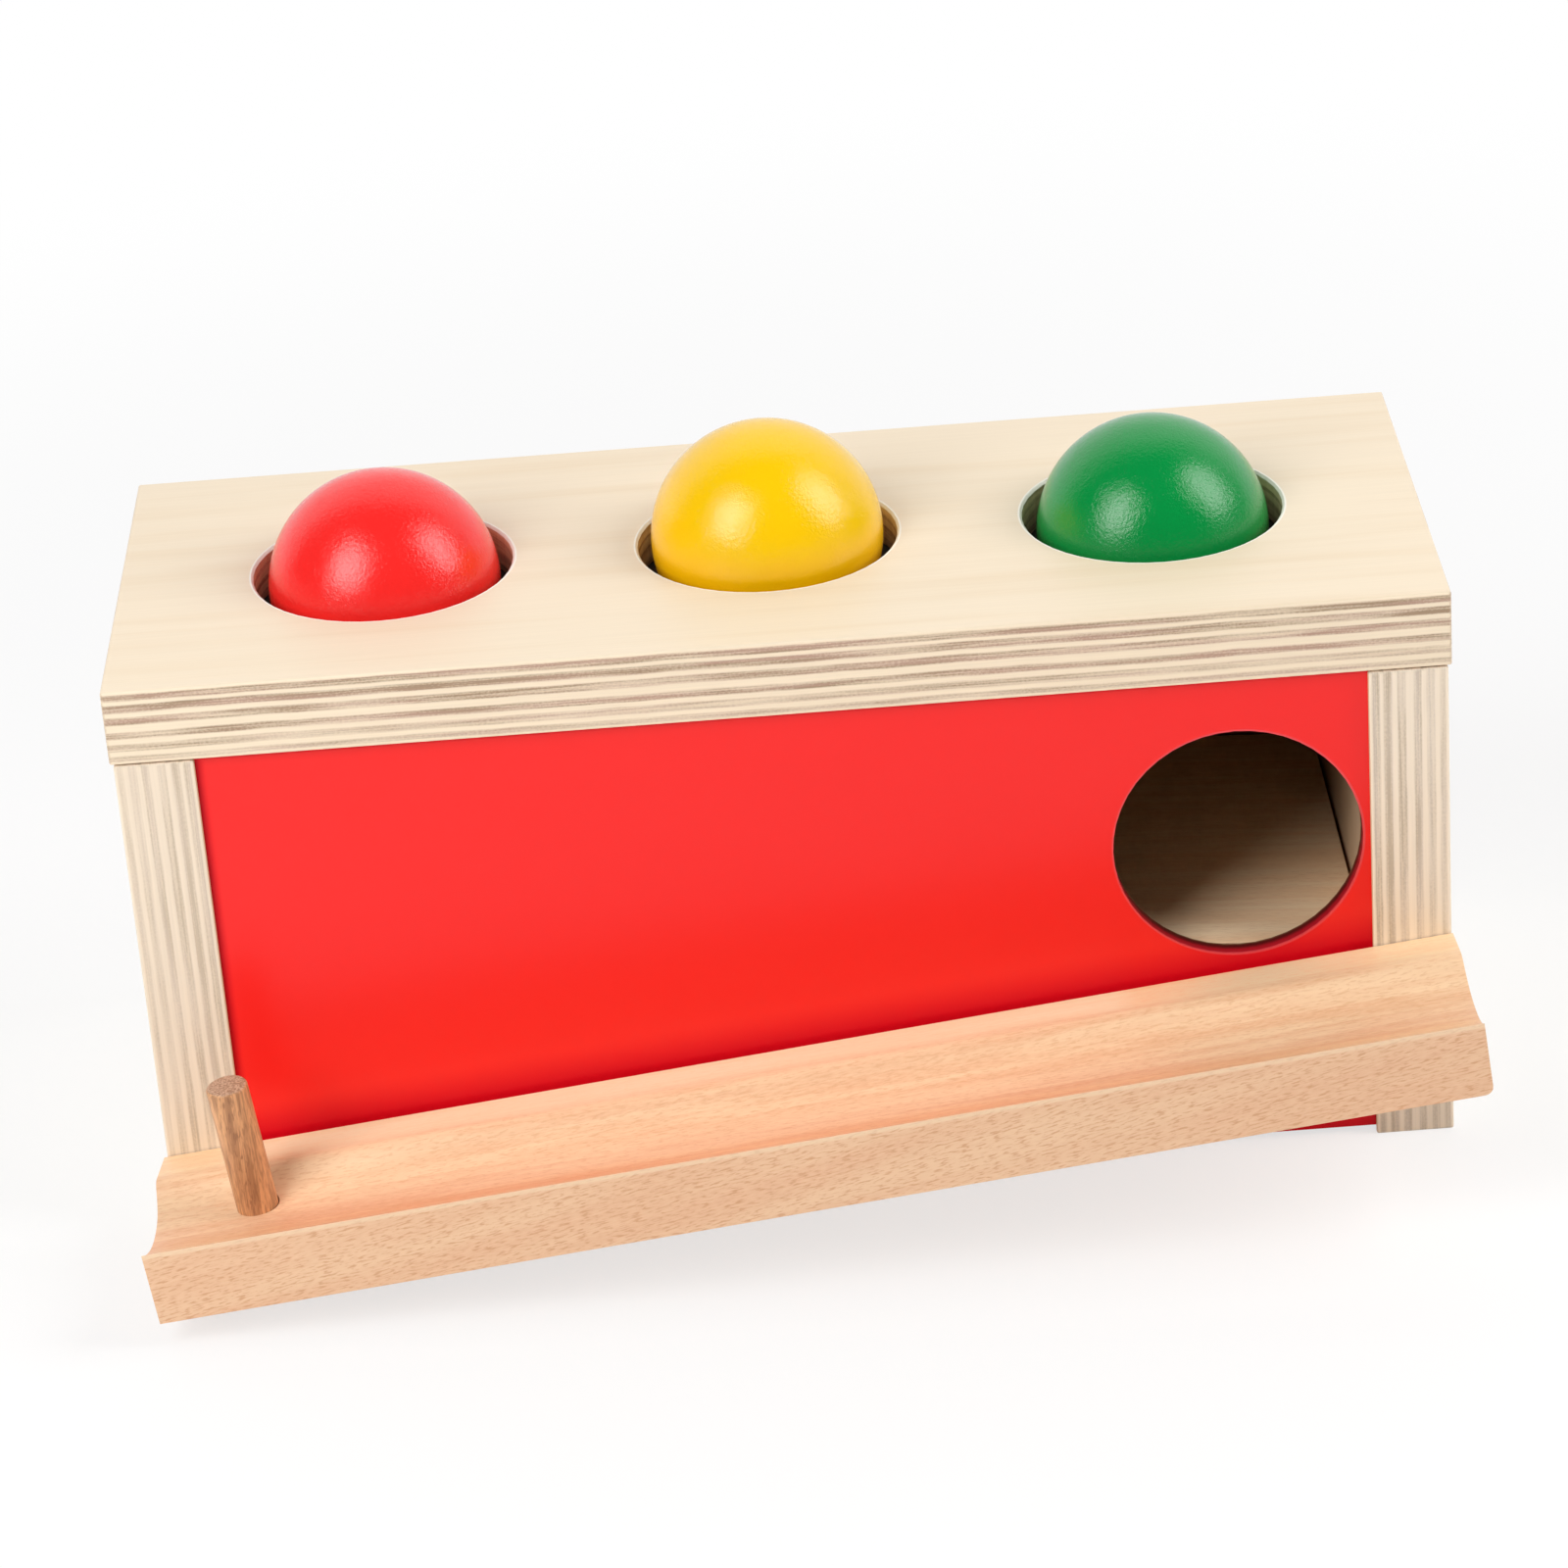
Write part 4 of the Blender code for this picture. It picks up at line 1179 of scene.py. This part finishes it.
@dataclass
class Screws:
    """Countersunk screws with a cross in the head. Lengths are shares of the head's radius."""

    steel: SkinFinish = SkinFinish(
        "zinc_steel", colour=(0.62, 0.62, 0.60, 1.0), tint=(0.42, 0.41, 0.38, 1.0), tint_mask="Gloss",
        tint_share=1.0, rough_mask="Shade", roughness=(0.25, 0.42), peel=0.3 * MM, wave=2 * MM,
        relief=0.006 * MM, metallic=1.0,
    )
    sides: int = 32
    rim_share: float = 0.11
    head_share: float = 0.63
    shank_share: float = 0.5
    point_share: float = 0.86
    tip_share: float = 0.1
    cross_reach_share: float = 0.55
    cross_width_share: float = 0.17
    cross_depth_share: float = 0.45
    smooth_angle: float = math.radians(30.0)
    turn_each: float = math.radians(137.5)

    def grow(self, step: float, scale: float) -> None:
        """In edit mode, extrude the selected end of a screw upwards, and scale it."""
        bpy.ops.mesh.extrude_region_move(TRANSFORM_OT_translate={"value": (0.0, 0.0, step)})
        bpy.ops.transform.resize(value=(scale, scale, 1.0), center_override=(0.0, 0.0, 0.0))

    def cross(self, screw: Piece, radius: float) -> None:
        """Cut the cross into the face of a screw's head.

        Args:
            screw: The screw, with that face at the origin.
            radius: The head's radius.
        """
        reach = 2 * radius * self.cross_reach_share
        width = 2 * radius * self.cross_width_share
        depth = 2 * radius * self.cross_depth_share
        bars = []
        for size in ((reach, width, depth), (width, reach, depth)):
            deselect_all()
            bpy.ops.mesh.primitive_cube_add(size=1.0, scale=size)
            bars.append(bpy.context.object)
            screw.modifiers.new("cross", "BOOLEAN").object = bars[-1]
        bpy.context.view_layer.objects.active = screw
        for modifier in list(screw.modifiers):
            bpy.ops.object.modifier_apply(modifier=modifier.name)
        for bar in bars:
            bpy.data.objects.remove(bar)

    def model(self, pin: Pin) -> Piece:
        """Model a screw that points up, with the face of its head at the origin.

        Args:
            pin: The size of the screw.

        Returns:
            The screw.
        """
        shares = (self.rim_share, self.head_share, self.point_share)
        rim, head, point = (pin.radius * share for share in shares)
        deselect_all()
        bpy.ops.mesh.primitive_circle_add(vertices=self.sides, radius=pin.radius, fill_type="NGON")
        screw = bpy.context.object
        bpy.ops.object.mode_set(mode="EDIT")
        bpy.ops.mesh.select_all(action="SELECT")
        self.grow(rim, 1.0)
        self.grow(head - rim, self.shank_share)
        self.grow(pin.length - head - point, 1.0)
        self.grow(point, self.tip_share)
        bpy.ops.mesh.select_all(action="SELECT")
        bpy.ops.mesh.normals_make_consistent(inside=False)
        bpy.ops.object.mode_set(mode="OBJECT")
        self.cross(screw, pin.radius)
        deselect_all()
        screw.select_set(True)
        bpy.ops.object.shade_smooth_by_angle(angle=self.smooth_angle)
        return screw

    def fit(self, finish: Finish, prefix: str, axes: dict[str, Vector]) -> None:
        """Model a kind of screw once, and put a copy in place of each CAD one.

        Args:
            finish: Their finish.
            prefix: What the new pieces' names start with.
            axes: Each CAD screw's direction, by its node.
        """
        pattern = self.model(Pin.measured(*next(iter(axes.items()))))
        for number, (node, axis) in enumerate(axes.items(), start=1):
            pin = Pin.measured(node, axis)
            screw = hang(f"{prefix}_{number}", pattern.data.copy())
            turn = UP.rotation_difference(axis).to_matrix().to_4x4()
            spin = Matrix.Rotation(self.turn_each * number, 4, "Z")
            screw.matrix_world = Matrix.Translation(pin.middle - axis * pin.length / 2) @ turn @ spin
            settle(screw)
            hand_over(screw, finish, "bench", "screw_steel", node)
        bpy.data.objects.remove(pattern)

    def dress(self) -> None:
        """Model and finish all the screws: upright under the top, and from the cleats out into the sides."""
        finish = self.steel.make()
        nodes = [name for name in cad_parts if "screw" in name]
        self.fit(finish, "board_screw", {name: UP for name in nodes if "retainer" in name})
        outward = {}
        for name in nodes:
            if "cleat" in name:
                outward[name] = Vector((math.copysign(1.0, sum(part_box(name), Vector()).x), 0.0, 0.0))
        self.fit(finish, "side_screw", outward)


def towards(azimuth: float, elevation: float) -> Vector:
    """The direction at an azimuth, from the front towards the right, and an elevation, both in radians."""
    level = math.cos(elevation)
    return Vector((math.sin(azimuth) * level, -math.cos(azimuth) * level, math.sin(elevation)))


@dataclass(frozen=True)
class Softbox:
    """A softbox that faces the bench. Its angles are in degrees and its radiance is 1 at white."""

    name: str
    azimuth: float
    elevation: float
    width: float
    height: float
    radiance: float
    distance: float = 1.3

    def place(self, middle: Vector) -> None:
        """Hang the softbox.

        Args:
            middle: The point that it faces.
        """
        lamp = bpy.data.lights.new(self.name, "AREA")
        lamp.shape = "RECTANGLE"
        lamp.size = self.width
        lamp.size_y = self.height
        lamp.energy = self.radiance * math.pi * self.width * self.height
        away = towards(math.radians(self.azimuth), math.radians(self.elevation))
        holder = hang(self.name, lamp)
        holder.location = middle + away * self.distance
        holder.rotation_euler = away.to_track_quat("Z", "Y").to_euler()
        holder.visible_camera = False


@dataclass
class Studio:
    """A pale floor, two tall softboxes, a white backdrop and the camera."""

    middle: Vector
    azimuth: float = math.radians(0.061)
    elevation: float = math.radians(26.881)
    roll: float = math.radians(-4.319)
    distance: float = 1.2553
    sideways: float = -0.473 * MM
    height: float = 73.44 * MM
    lens: float = 121.92
    floor_size: float = 12.0
    floor_colour: Colour = (0.95, 0.95, 0.95, 1.0)
    floor_roughness: float = 0.9
    near_white: float = 0.7
    whiter: Span = (0.2, 0.7)
    behind: Span = (0.34, 0.48)
    front_fill: float = 0.08
    back_fill: float = 1.0
    softboxes: tuple[Softbox, ...] = (
        Softbox("left_softbox", azimuth=-44.0, elevation=38.0, width=0.64, height=0.9, radiance=6.8),
        Softbox("right_softbox", azimuth=80.0, elevation=37.0, width=0.64, height=0.95, radiance=5.5),
    )

    def floor(self) -> None:
        """Lay the floor, which keeps the bench's shadow and turns white away from it."""
        deselect_all()
        bpy.ops.mesh.primitive_plane_add(size=self.floor_size, location=(self.middle.x, self.middle.y, 0.0))
        floor = bpy.context.object
        floor.name = "studio_floor"
        settle(floor)
        finish = Finish("studio_floor", self.floor_roughness)
        finish.feed("Base Color", self.floor_colour)
        wiring = finish.wiring
        away = wiring.distance(finish.place, tuple(self.middle))
        share = wiring.times(wiring.seen(1.0), wiring.span(away, *self.whiter, self.near_white, 1.0))
        white = wiring.add("Emission", {"Color": WHITE, "Strength": 1.0})
        mixed = wiring.add("MixShader", {0: share, 1: finish.shader.outputs[0], 2: white.outputs[0]})
        output = finish.material.node_tree.nodes["Material Output"]
        wiring.feed(output.inputs["Surface"], mixed.outputs[0])
        floor.data.materials.append(finish.material)

    def world(self) -> None:
        """Fill the shadows, most of all from behind, and look white.

        A glossy ray sees the white only behind the bench, because the balls in the photograph reflect a
        dark front.
        """
        world = bpy.data.worlds.new("studio")
        world.use_nodes = True
        bpy.context.scene.world = world
        wiring = Wiring(world.node_tree)
        background = world.node_tree.nodes["Background"]
        background.inputs["Color"].default_value = WHITE
        direction = wiring.parts(wiring.add("TexCoord").outputs["Generated"])
        seen = wiring.seen(wiring.span(direction["Y"], *self.behind))
        fill = wiring.span(direction["Y"], *self.behind, self.front_fill, self.back_fill)
        strength = wiring.add("Mix", {0: seen, 2: fill, 3: 1.0}, data_type="FLOAT").outputs[0]
        wiring.feed(background.inputs["Strength"], strength)

    def camera(self) -> None:
        """Stand the camera where the photograph was taken from."""
        away = towards(self.azimuth, self.elevation)
        across = UP.cross(away).normalized()
        upward = away.cross(across)
        right = across * math.cos(self.roll) + upward * math.sin(self.roll)
        up = upward * math.cos(self.roll) - across * math.sin(self.roll)
        target = Vector((self.sideways, self.middle.y, self.height))
        turn = Matrix((right, up, away)).transposed().to_4x4()
        camera = hang("camera", bpy.data.cameras.new("camera"))
        camera.data.lens = self.lens
        camera.matrix_world = Matrix.Translation(target + away * self.distance) @ turn
        bpy.context.scene.camera = camera

    def build(self) -> None:
        """Set up the whole studio."""
        self.floor()
        for softbox in self.softboxes:
            softbox.place(self.middle)
        self.world()
        self.camera()
        bpy.context.scene.view_settings.view_transform = "Standard"


def main() -> None:
    """Dress the bench and set up the studio."""
    logging.basicConfig(level=logging.INFO, format="%(name)s: %(message)s")
    for effect in (WoodFibres(), PlywoodLayers(), BeechGrain(), SprayedLacquer()):
        effect.build()
    for assembly in (PlywoodBox(), BallRun(), Balls(), Rail(), Screws()):
        assembly.dress()
    low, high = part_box("top_panel")
    Studio(middle=Vector((0.0, (low.y + high.y) / 2, high.z / 2))).build()


if __name__ == "__main__":
    main()
